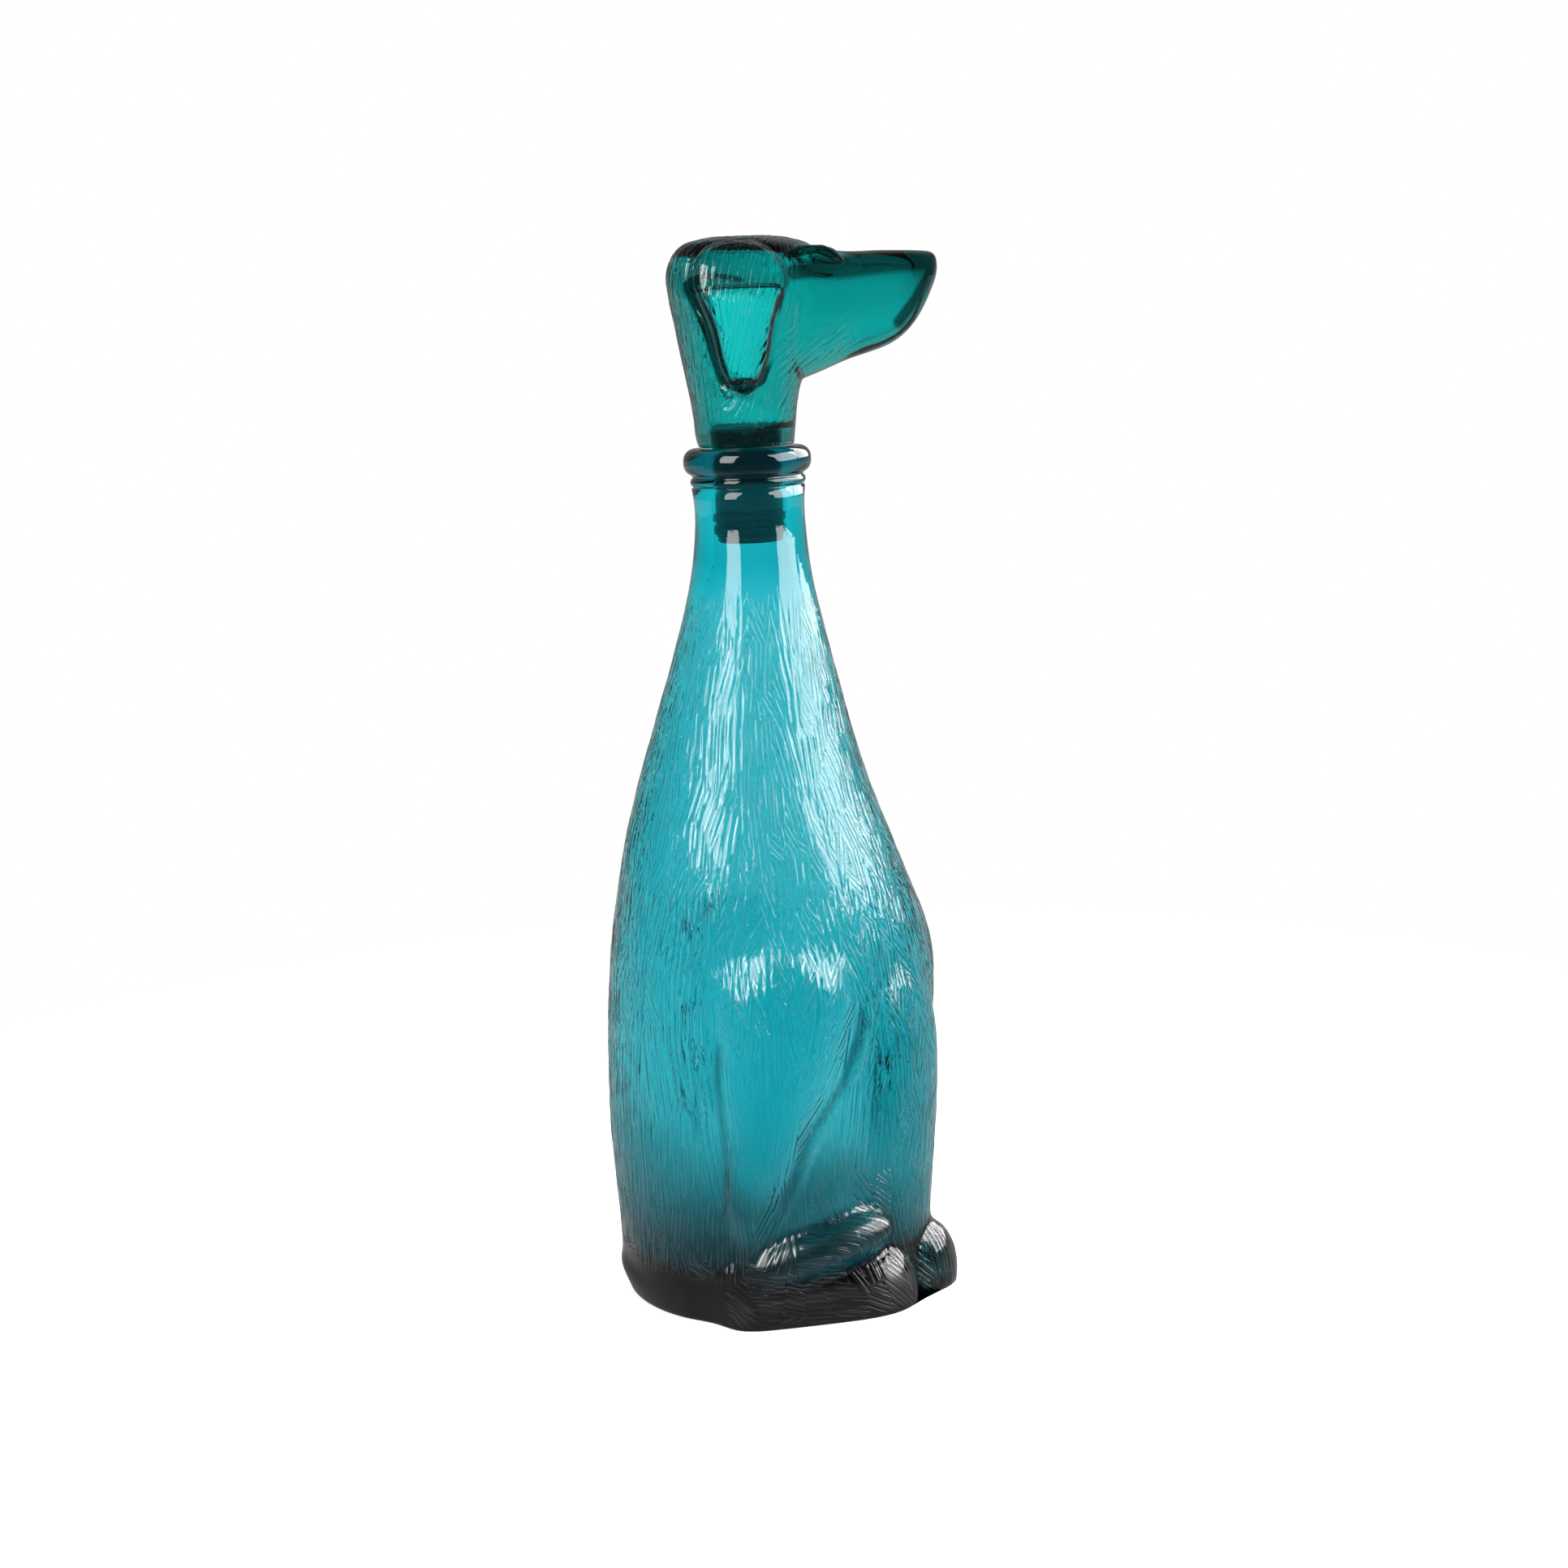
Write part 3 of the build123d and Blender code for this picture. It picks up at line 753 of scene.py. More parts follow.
    def inner_places(self, tree, columns, collar_foot):
        """Places of the collar, the ring, the lip, the bore and the hollow, in that order."""
        ring_foot = lip_height - self.ring_height
        middle = UP * (lip_height - self.ring_height / 2)
        ring_radius = hit(tree, middle + around(0) * FAR, -around(0)).x
        bore_radius = hit(tree, middle, around(0)).x
        collar_middle = collar_foot + self.collar_height / 2
        collar_radius = hit(tree, UP * collar_middle + around(0) * FAR, -around(0)).x
        neck_radius = hit(tree, UP * (collar_foot - self.plain_step) + around(0) * FAR, -around(0)).x
        bead = self.collar_height / 2
        ring_core = ring_radius - self.ring_round
        profile = [(neck_radius + self.edge_round / 4, collar_foot + self.edge_round / 8)]
        profile += arc((collar_radius - bead * 0.7, collar_middle), bead * 0.85, -62, 62, 6)
        profile += arc((ring_core, ring_foot + self.ring_round), self.ring_round, -66, 0, 6)
        profile += arc((ring_core, lip_height - self.ring_round), self.ring_round, 0, 90, 7)
        lip_core = bore_radius + self.edge_round
        profile += arc((lip_core, lip_height - self.edge_round), self.edge_round, 90, 180, 3)
        bore_start = plug_bottom - 6.5 * MM
        bore_rows = 8
        drop = lip_height - self.edge_round - bore_start
        profile += [(bore_radius, bore_start + drop * (1 - row / bore_rows)) for row in range(1, bore_rows + 1)]
        heights = np.linspace(bore_start - 3 * MM, self.floor_middle, 26)
        dips = np.radians(np.concatenate([np.linspace(6, 60, 12), [68, 76, 83, 88]]))
        hollow = hollow_places(tree, heights, columns, self.floor_middle, dips)
        hollow = thinned(tree, hollow, self.usual_wall, self.hollow_level, self.floor_middle)
        return np.concatenate([ring_places(profile, columns), blurred(hollow, 2, along_rows=True)])

    def under_places(self, rim):
        """Places under the foot, from near the rim into the shallow punt."""
        rows = []
        rim_radii = np.linalg.norm(rim[:, :2], axis=1, keepdims=True)
        for share in (0.97, 0.5, 0.0):
            radii = self.punt_radius + (rim_radii - self.punt_radius) * share
            row = rim * np.concatenate([radii / rim_radii, radii / rim_radii, radii * 0], axis=1)
            rows.append(row)
        for share in (0.95, 0.8, 0.6, 0.4, 0.2, 0.02):
            row = rows[2] * share
            row[:, 2] = self.punt_depth * (1 - share ** 2)
            rows.append(row)
        return np.array(rows)

    def comb(self, places, normals, sizes):
        """Lay locks of hair over the outside and work out how far the carving rises."""
        coat = self.coat(places)
        stretch = np.array([1.0, 1.0, 0.42])
        picked = lock_middles(places, coat >= 0, sizes.lock_size, stretch, 7)
        middles = places[picked]
        lock = nearest_lock(places, middles, stretch)
        numbers = np.arange(len(picked))
        lean = (scattered(numbers, 3) - 0.5) * math.radians(30)
        lean *= 0.3 + 0.7 * smoothstep(90, 140, middles[:, 2] / MM)
        flow = self.flow(middles)
        along = turned(flattened(flow, normals[picked]), normals[picked], lean)
        across = np.cross(normals[picked], along)
        u, v = combed(places, lock, middles, across, along)
        apart = np.sqrt((u / (sizes.lock_size / MM)) ** 2 + (v / (2.2 * sizes.lock_size / MM)) ** 2)
        bulge = np.clip(1 - apart ** 2 * 1.6, -0.4, 1)
        pitch = sizes.groove_pitch / MM
        upright = np.abs(along[lock][:, 2])
        grooves = groove_heights(u, v, lock, pitch, 22.0) * smoothstep(0.75, 0.95, upright)
        flat = places[:, [0, 2]] / MM
        crease = (stroke(flat - [2.5, 0], self.front_crease, 3.5) - stroke(flat, self.front_crease, 3.0))
        crease = crease * smoothstep(28, 38, np.abs(places[:, 1]) / MM)
        low = 1 - smoothstep(24, 40, places[:, 2] / MM)
        rise = np.minimum(coat, 1) * (bulge * sizes.lock_rise * (1 - 0.6 * low) + grooves * sizes.groove_depth)
        shelf = smoothstep(-2.5, 3, self.depth_in_thigh(flat)) * smoothstep(98, 112, places[:, 2] / MM)
        shelf *= smoothstep(28, 38, np.abs(places[:, 1]) / MM)
        rise += (crease * 0.5 + shelf * 0.6) * MM
        return {
            "rise": rise, "places": places, "lock": lock, "middles": middles,
            "across": across, "along": along, "coat": coat, "feather": self.feather(middles, numbers),
        }

    def feather(self, middles, numbers):
        """How far the hair of each lock spreads from its middle line, as on the flank below the shoulder."""
        height = middles[:, 2] / MM
        zone = smoothstep(88, 110, height) * (1 - smoothstep(150, 175, height))
        return np.where(scattered(numbers, 9) < 0.6 * zone + 0.1, math.radians(17), 0)

    def coat(self, places):
        """How much hair each place has: none on the neck, on the smooth band behind and up the chest."""
        azimuth = np.degrees(np.arctan2(places[:, 1], places[:, 0]))
        radius = np.linalg.norm(places[:, :2], axis=1)
        height = places[:, 2] / MM
        coat = 1 - smoothstep(236, 256, height)
        behind = 1 - smoothstep(20, 45, np.abs(np.abs(azimuth) - 150))
        coat *= 1 - behind * (1 - smoothstep(14, 20, height))
        coat *= smoothstep(0.5, 3, height) * (0.55 + 0.45 * smoothstep(0.02, 0.05, radius))
        flat = places[:, [0, 2]] / MM
        smooth = smoothstep(2, 8, self.depth_in_thigh(flat)) * (1 - smoothstep(88, 104, height))
        coat *= 1 - 0.5 * smooth * smoothstep(45, 75, height)
        # Beside the thigh's creases the coat rises far above one: more hair, and deeper painted shade in its grooves
        hatch = stroke(flat + [2.5, 0], self.front_crease, 5) + 0.5 * stroke(flat, self.rear_crease, 3)
        return coat + 5 * hatch * smoothstep(30, 36, height)

    def depth_in_thigh(self, flat):
        """How deep each flat place lies inside the thigh's outline."""
        return depth_inside(flat, self.thigh_top + self.front_crease[1:] + self.rear_crease[::-1])

    def flow(self, places):
        """Which way the hair runs: down the body and away from the flank's middle, and along the feet."""
        height = places[:, 2] / MM
        forward = places[:, 0] / MM
        flat = np.stack([forward, height], axis=1)
        low = np.maximum(1 - smoothstep(12, 20, height), stroke(flat, self.tail_line, 11) * (places[:, 1] < -0.04))
        parted = np.tanh((forward - self.parting) / 14) * smoothstep(110, 170, height)
        flow = np.zeros_like(places)
        flow[:, 2] = -1 + 0.9 * low - low * smoothstep(18, 34, forward)
        flow[:, 0] = low + 0.26 * parted + 0.12 * np.sin(height * 0.045 + forward * 0.06)
        flow[:, 0] -= 0.75 * stroke(flat, self.front_crease, 12) * (1 - smoothstep(84, 104, height))
        fan = smoothstep(-1, 2, self.depth_in_thigh(flat)) * smoothstep(94, 104, height)
        flow[:, 0] += fan * (self.thigh_middle[0] - forward) / (height - self.thigh_middle[1] + 12)
        return flow

    def numbering(self, bm, grid):
        """The number of each vertex's place in the grid, or minus one off the grid."""
        bm.verts.index_update()
        numbers = np.full(len(bm.verts), -1)
        for row, verts in enumerate(grid):
            for column, vert in enumerate(verts):
                numbers[vert.index] = row * len(verts) + column
        return numbers

    def store_hair(self, mesh, numbers, hair):
        """Put the hair's coordinates on the mesh, with none off the outside."""
        known = numbers >= 0
        lock = np.where(known, hair["lock"][numbers], 0)
        coat = np.where(known, hair["coat"][numbers], 0)
        places = vertex_array(mesh)
        hair_layers(
            mesh, places, lock, hair["middles"], hair["across"], hair["along"], hair["feather"], coat,
            self.shade(places, known), self.frost(places, known),
        )

    def frost(self, places, outside):
        """Where the glass is satin: the base, under the foot, and low down inside, where it blurs what is behind."""
        forward, side, height = (places / MM).T
        paw = smoothstep(38, 44, forward)
        base = 0.42 * (1 - smoothstep(10, 16, height)) * outside * (1 - paw)
        tail = 0.27 * stroke(places[:, [0, 2]] / MM, self.tail_line, 11) * outside * (side < 0) * (1 - paw)
        inside = 0.7 * (1 - smoothstep(30, 90, height)) * (1 - outside)
        return np.max([base, tail, inside], axis=0)

    def shade(self, places, outside):
        """Painted shade on the neck ring, base, lower body, feet, tail and the thigh's creases."""
        forward, side, height = (places / MM).T
        radius = np.hypot(forward, side)
        # Painted shade on the neck ring
        ring = 0.94 * smoothstep(286, 289, height) * smoothstep(13.5, 15, radius)
        paw = smoothstep(40, 46, forward)
        # Painted shade on the base band outside and on the sole; weaker on the inside above the sole
        seen = np.maximum(outside, 0.3 + 0.7 * (height < 4))
        base = 0.95 * (1 - smoothstep(12, 17, height)) * (1 - 0.9 * paw) * seen
        # Painted shade outside, darker towards the bottom and less at the front
        low_shade = 0.9 * (1 - smoothstep(22, 82, height)) * outside * (1 - 0.6 * smoothstep(20, 45, forward))
        flat = np.stack([forward, height], axis=1)
        flank = smoothstep(28, 38, np.abs(side)) * outside
        # Painted shade on the feet and, on the right side, the tail
        foot = 0.96 * flank * (1 - smoothstep(16, 20, height)) * smoothstep(-28, -20, forward) * (1 - paw)
        tail = 0.97 * stroke(flat, self.tail_line, 11) * (side < 0) * smoothstep(46, 50, radius) * outside
        # Painted shade along the thigh's creases
        creases = 0.75 * stroke(flat, self.front_crease, 2.2) + 0.6 * stroke(flat, self.rear_crease, 2.0)
        return np.max([ring, base, low_shade, foot, tail, creases * flank], axis=0)


class DECANTER_OT_head(bpy.types.Operator):
    """Make the hollow glass head with its ears, eyes, muzzle and carved hair"""

    bl_idname = "decanter.head"
    bl_label = "Glass head"

    # Lines on the side of the head, forward and up from its foot in millimetres
    window = [
        (-17.9, 53.7), (-6.2, 54.0), (8.7, 52.7), (6.4, 45.5), (3.8, 29.8), (1.4, 23.5), (-3.6, 21.1),
        (-8.2, 23.4), (-10.3, 30.4), (-12.1, 38.3), (-15.0, 46.3),
    ]
    ear_edge = [
        (-4.3, 19.0), (-9.3, 21.9), (-11.5, 29.1), (-13.6, 41.0), (-18.1, 49.5), (-19.4, 55.5), (-18.0, 62.0),
        (-14.6, 66.3), (-8.8, 68.6), (-2.8, 69.2), (3.9, 67.7), (9.1, 63.7), (11.9, 58.3), (12.2, 53.6),
        (10.1, 49.0), (6.9, 42.8), (4.9, 29.7), (1.9, 22.4), (-4.3, 19.0),
    ]
    window_top = [(-17.7, 56.8), (-11.0, 56.6), (-4.3, 55.0)]
    brow = [(15.1, 63.4), (18.5, 65.2), (22.7, 65.8), (26.8, 64.9), (33.1, 60.7)]
    lid = [(16.5, 61.6), (20.0, 63.3), (24.0, 63.6), (28.5, 61.8)]
    under_eye = [(15.1, 63.4), (17.2, 61.2), (21.2, 60.3), (25.8, 60.0), (30.4, 59.6), (33.1, 60.7)]
    low_fold = [(13.9, 54.6), (21.4, 53.8), (31.0, 52.7)]
    nose_front = [(67.0, 60.5), (63.5, 53.5), (59.0, 46.5), (53.0, 39.5)]
    muzzle_top = [(15.0, 57.0), (32.0, 58.5), (50.0, 60.0), (68.0, 60.5)]
    throat = [(2.0, 12.0), (9.0, 24.0), (20.0, 32.0), (32.0, 36.0)]
    eye_rounds = 150
    muzzle_power = 3.0

    def execute(self, context):
        sizes = context.scene.decanter_head
        bm = cad_mesh("stopper_head")
        draft = bpy.data.meshes.new("head_draft")
        bm.to_mesh(draft)
        bm.free()
        form = bpy.data.objects.new("head_draft", draft)
        bpy.context.scene.collection.objects.link(form)
        remesh = form.modifiers.new("even", "REMESH")
        remesh.mode = "VOXEL"
        remesh.voxel_size = sizes.voxel
        graph = bpy.context.evaluated_depsgraph_get()
        mesh = bpy.data.meshes.new_from_object(form.evaluated_get(graph))
        bpy.data.objects.remove(form)
        bm = bmesh.new()
        bm.from_mesh(mesh)
        for _ in range(3):
            bmesh.ops.smooth_vert(
                bm, verts=bm.verts, factor=0.5, use_axis_x=True, use_axis_y=True, use_axis_z=True
            )
        bm.to_mesh(mesh)
        self.shape_face(bm)
        bm.to_mesh(mesh)
        hair = self.comb(mesh, sizes)
        moved = vertex_array(mesh) + vertex_array(mesh, "normal") * hair["rise"][:, None]
        for vert, place in zip(bm.verts, moved.tolist()):
            vert.co = place
        piece = finished_piece("head_glass", bm, "stopper", "stopper_head")
        hair_layers(
            piece.data, vertex_array(piece.data), hair["lock"], hair["middles"], hair["across"], hair["along"],
            hair["feather"], hair["coat"], hair["shade"], hair["shade"] * 0,
        )
        piece.data.materials.append(glass_material("green glass", sizes, 1.5, 0.08 * MM, 0.48, 0.86))
        return {"FINISHED"}

    def shape_face(self, bm):
        """Draw the muzzle in towards the jaw, and soften the eyes into the brow."""
        places = np.array([vert.co for vert in bm.verts]) / MM - [0, 0, head_base / MM]
        slices = np.arange(18, 80, 3.0)
        spans = []
        for middle in slices:
            near = places[np.abs(places[:, 0] - middle) < 2]
            spans.append((near[:, 2].min(), near[:, 2].max(), near[:, 1].max()) if len(near) else spans[-1])
        low, high, wide = (np.interp(places[:, 0], slices, span) for span in zip(*spans))
        middle, half = (low + high) / 2, (high - low) / 2
        across, up = places[:, 1] / wide, (places[:, 2] - middle) / half
        reach = np.maximum(np.hypot(across, up), 1e-6)
        power = self.muzzle_power
        fuller = (np.abs(across / reach) ** power + np.abs(up / reach) ** power) ** (-1 / power)
        share = smoothstep(33, 42, places[:, 0]) * (1 - 0.6 * smoothstep(58, 68, places[:, 0]))
        fuller = 1 + (fuller - 1) * share
        places[:, 1] *= fuller * (1 + share * 0.16 * up)
        places[:, 2] = middle + (places[:, 2] - middle) * fuller
        places[:, 2] -= 2.2 * smoothstep(44, 66, places[:, 0]) * smoothstep(48, 60, places[:, 2])
        eyes = []
        for vert, (forward, side, height) in zip(bm.verts, places.tolist()):
            if forward > 33:
                vert.co.y, vert.co.z = side * MM, height * MM + head_base
            if 12 < forward < 40 and 49 < height and abs(side) > 4:
                eyes.append(vert)
        for _ in range(self.eye_rounds):
            bmesh.ops.smooth_vert(
                bm, verts=eyes, factor=0.5, use_axis_x=True, use_axis_y=True, use_axis_z=True
            )
        bm.normal_update()

    def comb(self, mesh, sizes):
        """Lay hair over the skull, the ears and the throat, and none on the muzzle or inside."""
        places = vertex_array(mesh)
        normals = vertex_array(mesh, "normal")
        middle = np.array([0, 0, head_base + 45 * MM])
        outward = np.einsum("ij,ij->i", places - middle, normals) > 0
        forward, side, height = ((places - [0, 0, head_base]) / MM).T
        flat = np.stack([forward, height], axis=1)
        flank = smoothstep(7, 12, np.abs(side)) * outward
        throat = stroke(flat, self.throat, 9) * outward
        window = smoothstep(-0.5, 0.8, depth_inside(flat, self.window)) * flank
        coat = outward * (1 - smoothstep(12, 24, forward)) * smoothstep(6, 12, height)
        # The painted shade's band round the ear's window, which carries no hair
        band = self.window_shade_band(flat) * flank
        coat = np.maximum(coat, throat) * (1 - 0.1 * window) * (1 - band)
        stretch = np.array([1.0, 1.0, 0.6])
        picked = lock_middles(places, outward, 9 * MM, stretch, 11)
        middles = places[picked]
        lock = nearest_lock(places, middles, stretch)
        flow = np.tile(np.array([-0.22, 0.0, -1.0]), (len(picked), 1))
        low_front = smoothstep(0, 12, middles[:, 0] / MM) * (1 - smoothstep(38, 50, (middles[:, 2] - head_base) / MM))
        flow[:, 0] -= 1.1 * low_front
        numbers = np.arange(len(picked))
        lean = (scattered(numbers, 5) - 0.5) * math.radians(24)
        along = turned(flattened(flow, normals[picked]), normals[picked], lean)
        across = np.cross(normals[picked], along)
        u, v = combed(places, lock, middles, across, along)
        grooves = groove_heights(u, v, lock, sizes.groove_pitch / MM, 14.0)
        carved = stroke(flat, self.ear_edge, 1.8) * flank
        brow = stroke(flat, self.brow, 1.3) * flank - stroke(flat, self.lid, 1.0) * flank
        rise = coat * grooves * sizes.groove_depth - 0.35 * MM * carved + 0.4 * MM * brow
        return {
            "rise": rise, "lock": lock, "middles": middles, "across": across, "along": along,
            "feather": np.zeros(len(picked)), "coat": coat,
            "shade": self.shade(flat, side, outward, flank, window, band),
        }

    def window_shade_band(self, flat):
        """Painted shade in a thick band behind, under and in front of the ear's window."""
        forward, height = flat.T
        depth = depth_inside(flat, self.window)
        band = smoothstep(-3.9, -3.3, depth) * (1 - smoothstep(-0.5, 0.3, depth))
        band *= 1 - 0.5 * smoothstep(-1, 2, forward) * smoothstep(26, 30, height) * (1 - smoothstep(42, 46, height))
        return band * (1 - smoothstep(49.5, 51.5, height) * smoothstep(-17, -15, forward))

    def shade(self, flat, side, outward, flank, window, band):
        """Painted shade on the head, a painted highlight in the eyes, and the glue's band at its foot."""
        forward, height = flat.T
        # Painted shade over the head's outside, darker on the muzzle and at the back
        base = 0.42 + 0.2 * smoothstep(50, 62, height) * smoothstep(20, 30, forward)
        base += 0.2 * smoothstep(32, 50, height) * smoothstep(14, 24, forward)
        base += 0.2 * (1 - smoothstep(-25, -14, forward))
        # The ear's top gets less painted shade, and the eyes none, which leaves a painted highlight there
        ear = smoothstep(0, 3, depth_inside(flat, self.ear_edge[:-1])) * smoothstep(54, 58, height) * flank
        eye_highlight = smoothstep(0, 0.8, depth_inside(flat, self.brow + self.under_eye[-2:0:-1])) * flank
        base *= (1 - 0.85 * ear) * (1 - eye_highlight)
        # No painted shade on the ear's window
        base = base * (1 - window)
        # Painted shade in lines: the band round the ear's window, the window's top, the ear, the eyes and a fold
        lines = band
        for line, width, depth in (
            (self.window_top, 1.6, 0.95), (self.ear_edge, 2.2, 0.85), (self.brow, 1.4, 0.97),
            (self.lid, 1.1, 0.95), (self.under_eye, 1.3, 0.95), (self.low_fold, 0.9, 0.45),
        ):
            lines = np.maximum(lines, depth * stroke(flat, line, width) * flank)
        # Painted shade along the muzzle's front and top
        nose_shade = 0.99 * stroke(flat, self.nose_front, 4.2) * outward
        top = 0.985 * stroke(flat, self.muzzle_top, 8.5 - 3.5 * (1 - smoothstep(20, 34, forward))) * outward * (1 - eye_highlight)
        # The glue's own colour, seen through the glass, in a ragged band at the head's foot
        turn = np.arctan2(side, forward)
        ragged = 5.6 + 0.7 * np.sin(5 * turn + 1) + 0.5 * np.sin(13 * turn + 2) + 0.4 * np.sin(29 * turn)
        glue = 0.82 * (1 - smoothstep(ragged - 0.6, ragged + 0.6, height))
        return np.max([base * outward, lines, nose_shade, top, glue], axis=0)


class DECANTER_OT_stopper(bpy.types.Operator):
    """Give the plug, its ribbed sleeve and the glue round its top their finishes"""

    bl_idname = "decanter.stopper"
    bl_label = "Plug, sleeve and glue"

    def execute(self, context):
        sizes = context.scene.decanter_stopper
        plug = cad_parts["stopper_plug"]
        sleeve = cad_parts["seal_sleeve"]
        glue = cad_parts["glue_bed"]
        plug.data.materials.clear()
        plug.data.materials.append(plastic_material("plug plastic", sizes.plug_colour, 0.35, 900.0, 0.03 * MM))
        sleeve.data.materials.clear()
        sleeve.data.materials.append(plastic_material("sleeve rubber", sizes.sleeve_colour, 0.5, 1400.0, 0.03 * MM))
        glue.data.materials.clear()
        glue.data.materials.append(plastic_material("glue", sizes.glue_colour, 0.3, 500.0, 0.2 * MM, specks=0.5))
        return {"FINISHED"}


class DECANTER_OT_stage(bpy.types.Operator):
    """Make the pale floor, the lamps, the surroundings and the camera"""

    bl_idname = "decanter.stage"
    bl_label = "Stage"

    def execute(self, context):
        sizes = context.scene.decanter_stage
        context.scene.view_settings.view_transform = "Standard"
        self.camera(context, sizes)
        self.floor(context, sizes)
        self.world(context)
        self.lamp(context, "left box", 35, 31, 1.3, 0.6, 1.15, sizes)
        shaded = bpy.data.collections.new("kept from the right boxes")
        shaded.objects.link(bpy.data.objects["head_glass"])
        shaded.collection_objects[0].light_linking.link_state = "EXCLUDE"
        for name, azimuth, width, height in (("right box", -78, 1.2, 1.1), ("right back box", -125, 1.0, 1.0)):
            box = self.lamp(context, name, azimuth, 28, 1.3, width, height, sizes)
            box.light_linking.receiver_collection = shaded
        return {"FINISHED"}

    def camera(self, context, sizes):
        """Stand the camera where the dog's right side and a little of its front show."""
        data = bpy.data.cameras.new("camera")
        data.lens = sizes.camera_lens
        data.sensor_width = 36
        camera = bpy.data.objects.new("camera", data)
        context.scene.collection.objects.link(camera)
        turn = Matrix.Rotation(-math.radians(sizes.camera_turn), 4, "Z")
        place = turn @ Vector((sizes.camera_shift, -sizes.camera_distance, sizes.camera_height))
        tilt = Matrix.Rotation(math.radians(90 - sizes.camera_pitch), 4, "X")
        roll = Matrix.Rotation(-math.radians(sizes.camera_roll), 4, "Z")
        camera.matrix_world = Matrix.Translation(place) @ turn @ tilt @ roll
        context.scene.camera = camera

    def floor(self, context, sizes):
        """Lay a large pale floor that keeps the shadow."""
        bm = bmesh.new()
        bmesh.ops.create_grid(bm, x_segments=8, y_segments=8, size=sizes.floor_size / 2)
        mesh = bpy.data.meshes.new("floor")
        bm.to_mesh(mesh)
        bm.free()
        floor = bpy.data.objects.new("floor", mesh)
        context.scene.collection.objects.link(floor)
        floor.location.z = -0.2 * MM
        mesh.materials.append(self.floor_material())

    def floor_material(self):
        """Plain pale floor near the object, which turns to white further out where it is seen."""
        material = bpy.data.materials.new("pale floor")
        material.use_nodes = True
        tree = material.node_tree
        skin = tree.nodes["Principled BSDF"]
        place = tree.nodes.new("ShaderNodeTexCoord").outputs["Object"]
        grain = noise_node(tree, place, 90.0, 4.0)
        shade = tree.nodes.new("ShaderNodeMix")
        shade.data_type = "RGBA"
        shade.inputs["A"].default_value = (0.86, 0.86, 0.86, 1)
        shade.inputs["B"].default_value = (0.92, 0.92, 0.92, 1)
        tree.links.new(grain, shade.inputs["Factor"])
        tree.links.new(shade.outputs["Result"], skin.inputs["Base Color"])
        skin.inputs["Roughness"].default_value = 0.95
        skin.inputs["Specular IOR Level"].default_value = 0.0
        skin.inputs["Emission Color"].default_value = (1, 1, 1, 1)
        skin.inputs["Emission Strength"].default_value = 0.35
        white = tree.nodes.new("ShaderNodeEmission")
        white.inputs["Color"].default_value = (1, 1, 1, 1)
        white.inputs["Strength"].default_value = 1.0
        distance = tree.nodes.new("ShaderNodeVectorMath")
        distance.operation = "LENGTH"
        tree.links.new(place, distance.inputs[0])
        away = ranged(tree, distance.outputs["Value"], 0.12, 0.55)
        path = tree.nodes.new("ShaderNodeLightPath")
        seen = math_node(tree, "MULTIPLY", path.outputs["Is Camera Ray"], away)
        mix = tree.nodes.new("ShaderNodeMixShader")
        tree.links.new(math_node(tree, "MAXIMUM", seen, path.outputs["Is Transmission Ray"]), mix.inputs["Fac"])
        tree.links.new(skin.outputs["BSDF"], mix.inputs[1])
        tree.links.new(white.outputs["Emission"], mix.inputs[2])
        way = tree.nodes.new("ShaderNodeVectorMath")
        way.operation = "DOT_PRODUCT"
        tree.links.new(place, way.inputs[0])
        way.inputs[1].default_value = self.behind(bpy.context.scene.decanter_stage)
        mirrored = tree.nodes.new("ShaderNodeEmission")
        tree.links.new(ranged(tree, way.outputs["Value"], -0.30, 0.05, 0.08, 0.50), mirrored.inputs["Strength"])
        last = tree.nodes.new("ShaderNodeMixShader")
        reflected = math_node(tree, "SUBTRACT", path.outputs["Is Glossy Ray"], path.outputs["Is Transmission Ray"])
        tree.links.new(math_node(tree, "MAXIMUM", reflected, 0.0), last.inputs["Fac"])
        tree.links.new(mix.outputs["Shader"], last.inputs[1])
        tree.links.new(mirrored.outputs["Emission"], last.inputs[2])
        tree.links.new(last.outputs["Shader"], tree.nodes["Material Output"].inputs["Surface"])
        return material

    def world(self, context):
        """White where the camera and glass see it, dim grey for gloss that is darker towards the camera, and plain grey
        light otherwise.
        """
        world = bpy.data.worlds.new("surroundings")
        context.scene.world = world
        world.use_nodes = True
        tree = world.node_tree
        tree.nodes.clear()
        output = tree.nodes.new("ShaderNodeOutputWorld")
        seen = tree.nodes.new("ShaderNodeBackground")
        seen.inputs["Color"].default_value = (1, 1, 1, 1)
        seen.inputs["Strength"].default_value = 1.0
        light = tree.nodes.new("ShaderNodeBackground")
        light.inputs["Color"].default_value = (1, 1, 1, 1)
        light.inputs["Strength"].default_value = 0.45
        way = tree.nodes.new("ShaderNodeVectorMath")
        way.operation = "DOT_PRODUCT"
        tree.links.new(tree.nodes.new("ShaderNodeTexCoord").outputs["Generated"], way.inputs[0])
        way.inputs[1].default_value = self.behind(context.scene.decanter_stage)
        behind = ranged(tree, way.outputs["Value"], 0.1, 0.95, 0.05, 0.32)
        path = tree.nodes.new("ShaderNodeLightPath")
        seen_rays = math_node(tree, "MAXIMUM", path.outputs["Is Camera Ray"], path.outputs["Is Transmission Ray"])
        gloss = math_node(tree, "MULTIPLY", path.outputs["Is Glossy Ray"], behind)
        diffuse = math_node(tree, "MULTIPLY", path.outputs["Is Diffuse Ray"], 0.45)
        tree.links.new(math_node(tree, "MAXIMUM", gloss, diffuse), light.inputs["Strength"])
        mix = tree.nodes.new("ShaderNodeMixShader")
        tree.links.new(seen_rays, mix.inputs["Fac"])
        tree.links.new(light.outputs[0], mix.inputs[1])
        tree.links.new(seen.outputs[0], mix.inputs[2])
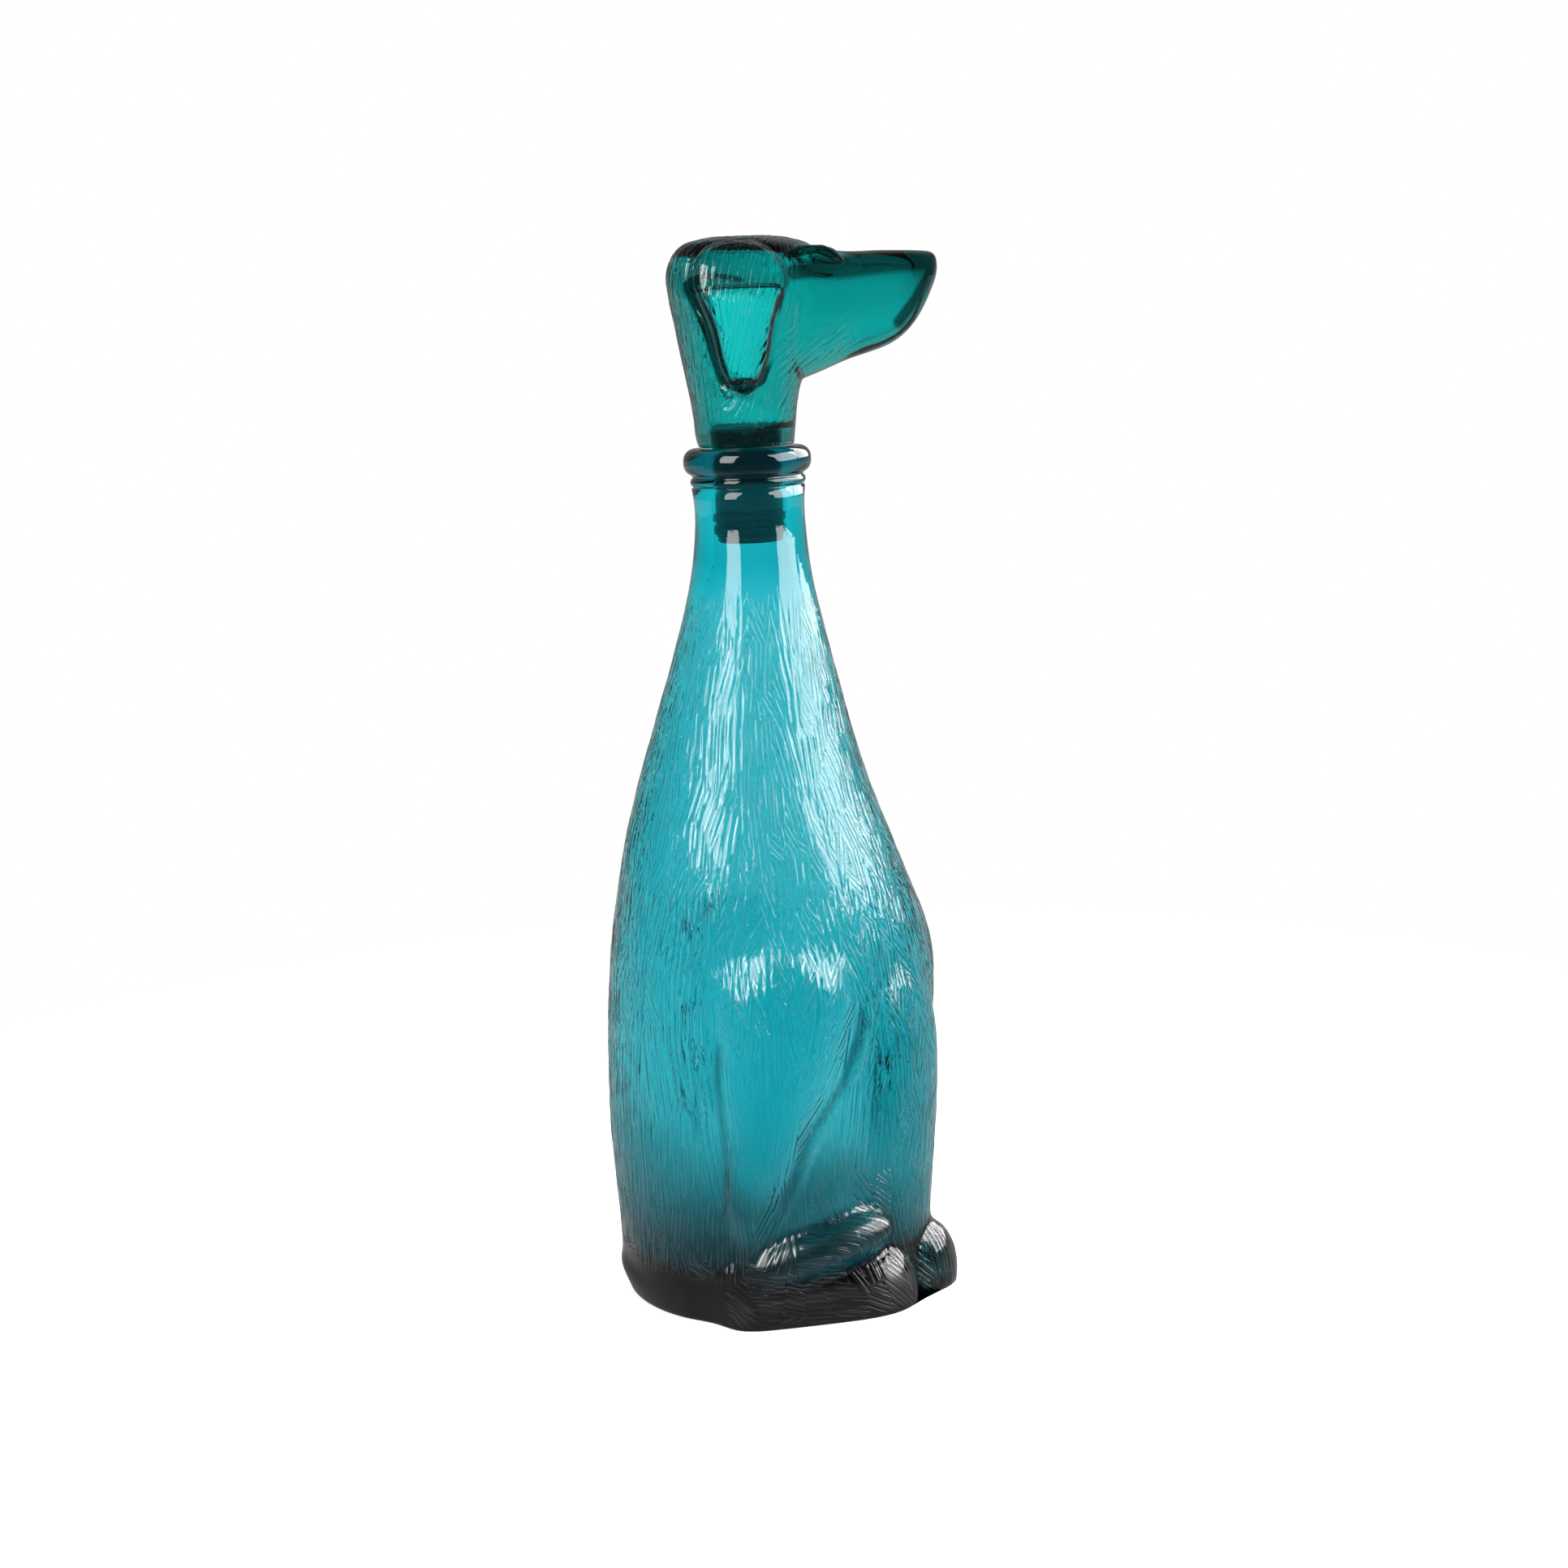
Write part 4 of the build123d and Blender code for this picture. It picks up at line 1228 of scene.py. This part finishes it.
        tree.links.new(mix.outputs[0], output.inputs["Surface"])

    def behind(self, sizes):
        """The level direction from the camera to the object."""
        turn = math.radians(sizes.camera_turn)
        return (math.sin(turn), math.cos(turn), 0)

    def lamp(self, context, name, azimuth, elevation, distance, width, height, sizes):
        """Hang one soft box, at an azimuth to the left of the camera, aimed at the body."""
        data = bpy.data.lights.new(name, "AREA")
        data.shape = "RECTANGLE"
        data.size = width
        data.size_y = height
        data.energy = sizes.lamp_radiance * math.pi * width * height
        lamp = bpy.data.objects.new(name, data)
        context.scene.collection.objects.link(lamp)
        lamp.visible_transmission = False
        turn = math.radians(-90 - sizes.camera_turn - azimuth)
        rise = math.radians(elevation)
        way = around(turn) * math.cos(rise) + UP * math.sin(rise)
        lamp.location = way * distance + UP * lip_height / 2
        lamp.rotation_mode = "QUATERNION"
        lamp.rotation_quaternion = (-way).to_track_quat("-Z", "Y")
        return lamp


class DECANTER_PT_panel(bpy.types.Panel):
    """The steps that dress the decanter, in order"""

    bl_label = "Decanter"
    bl_idname = "DECANTER_PT_panel"
    bl_space_type = "VIEW_3D"
    bl_region_type = "UI"
    bl_category = "Decanter"

    def draw(self, context):
        for step in STEPS:
            self.layout.operator(step.bl_idname)


STEPS = (DECANTER_OT_bottle, DECANTER_OT_head, DECANTER_OT_stopper, DECANTER_OT_stage)
SETTINGS = {
    "decanter_bottle": BottleSettings,
    "decanter_head": HeadSettings,
    "decanter_stopper": StopperSettings,
    "decanter_stage": StageSettings,
}
CLASSES = (*SETTINGS.values(), *STEPS, DECANTER_PT_panel)


def register():
    for each in CLASSES:
        bpy.utils.register_class(each)
    for name, settings in SETTINGS.items():
        setattr(bpy.types.Scene, name, PointerProperty(type=settings))


def unregister():
    for name in SETTINGS:
        delattr(bpy.types.Scene, name)
    for each in reversed(CLASSES):
        bpy.utils.unregister_class(each)


def main():
    register()
    bpy.ops.decanter.bottle()
    bpy.ops.decanter.head()
    bpy.ops.decanter.stopper()
    bpy.ops.decanter.stage()


if __name__ == "__main__":
    main()
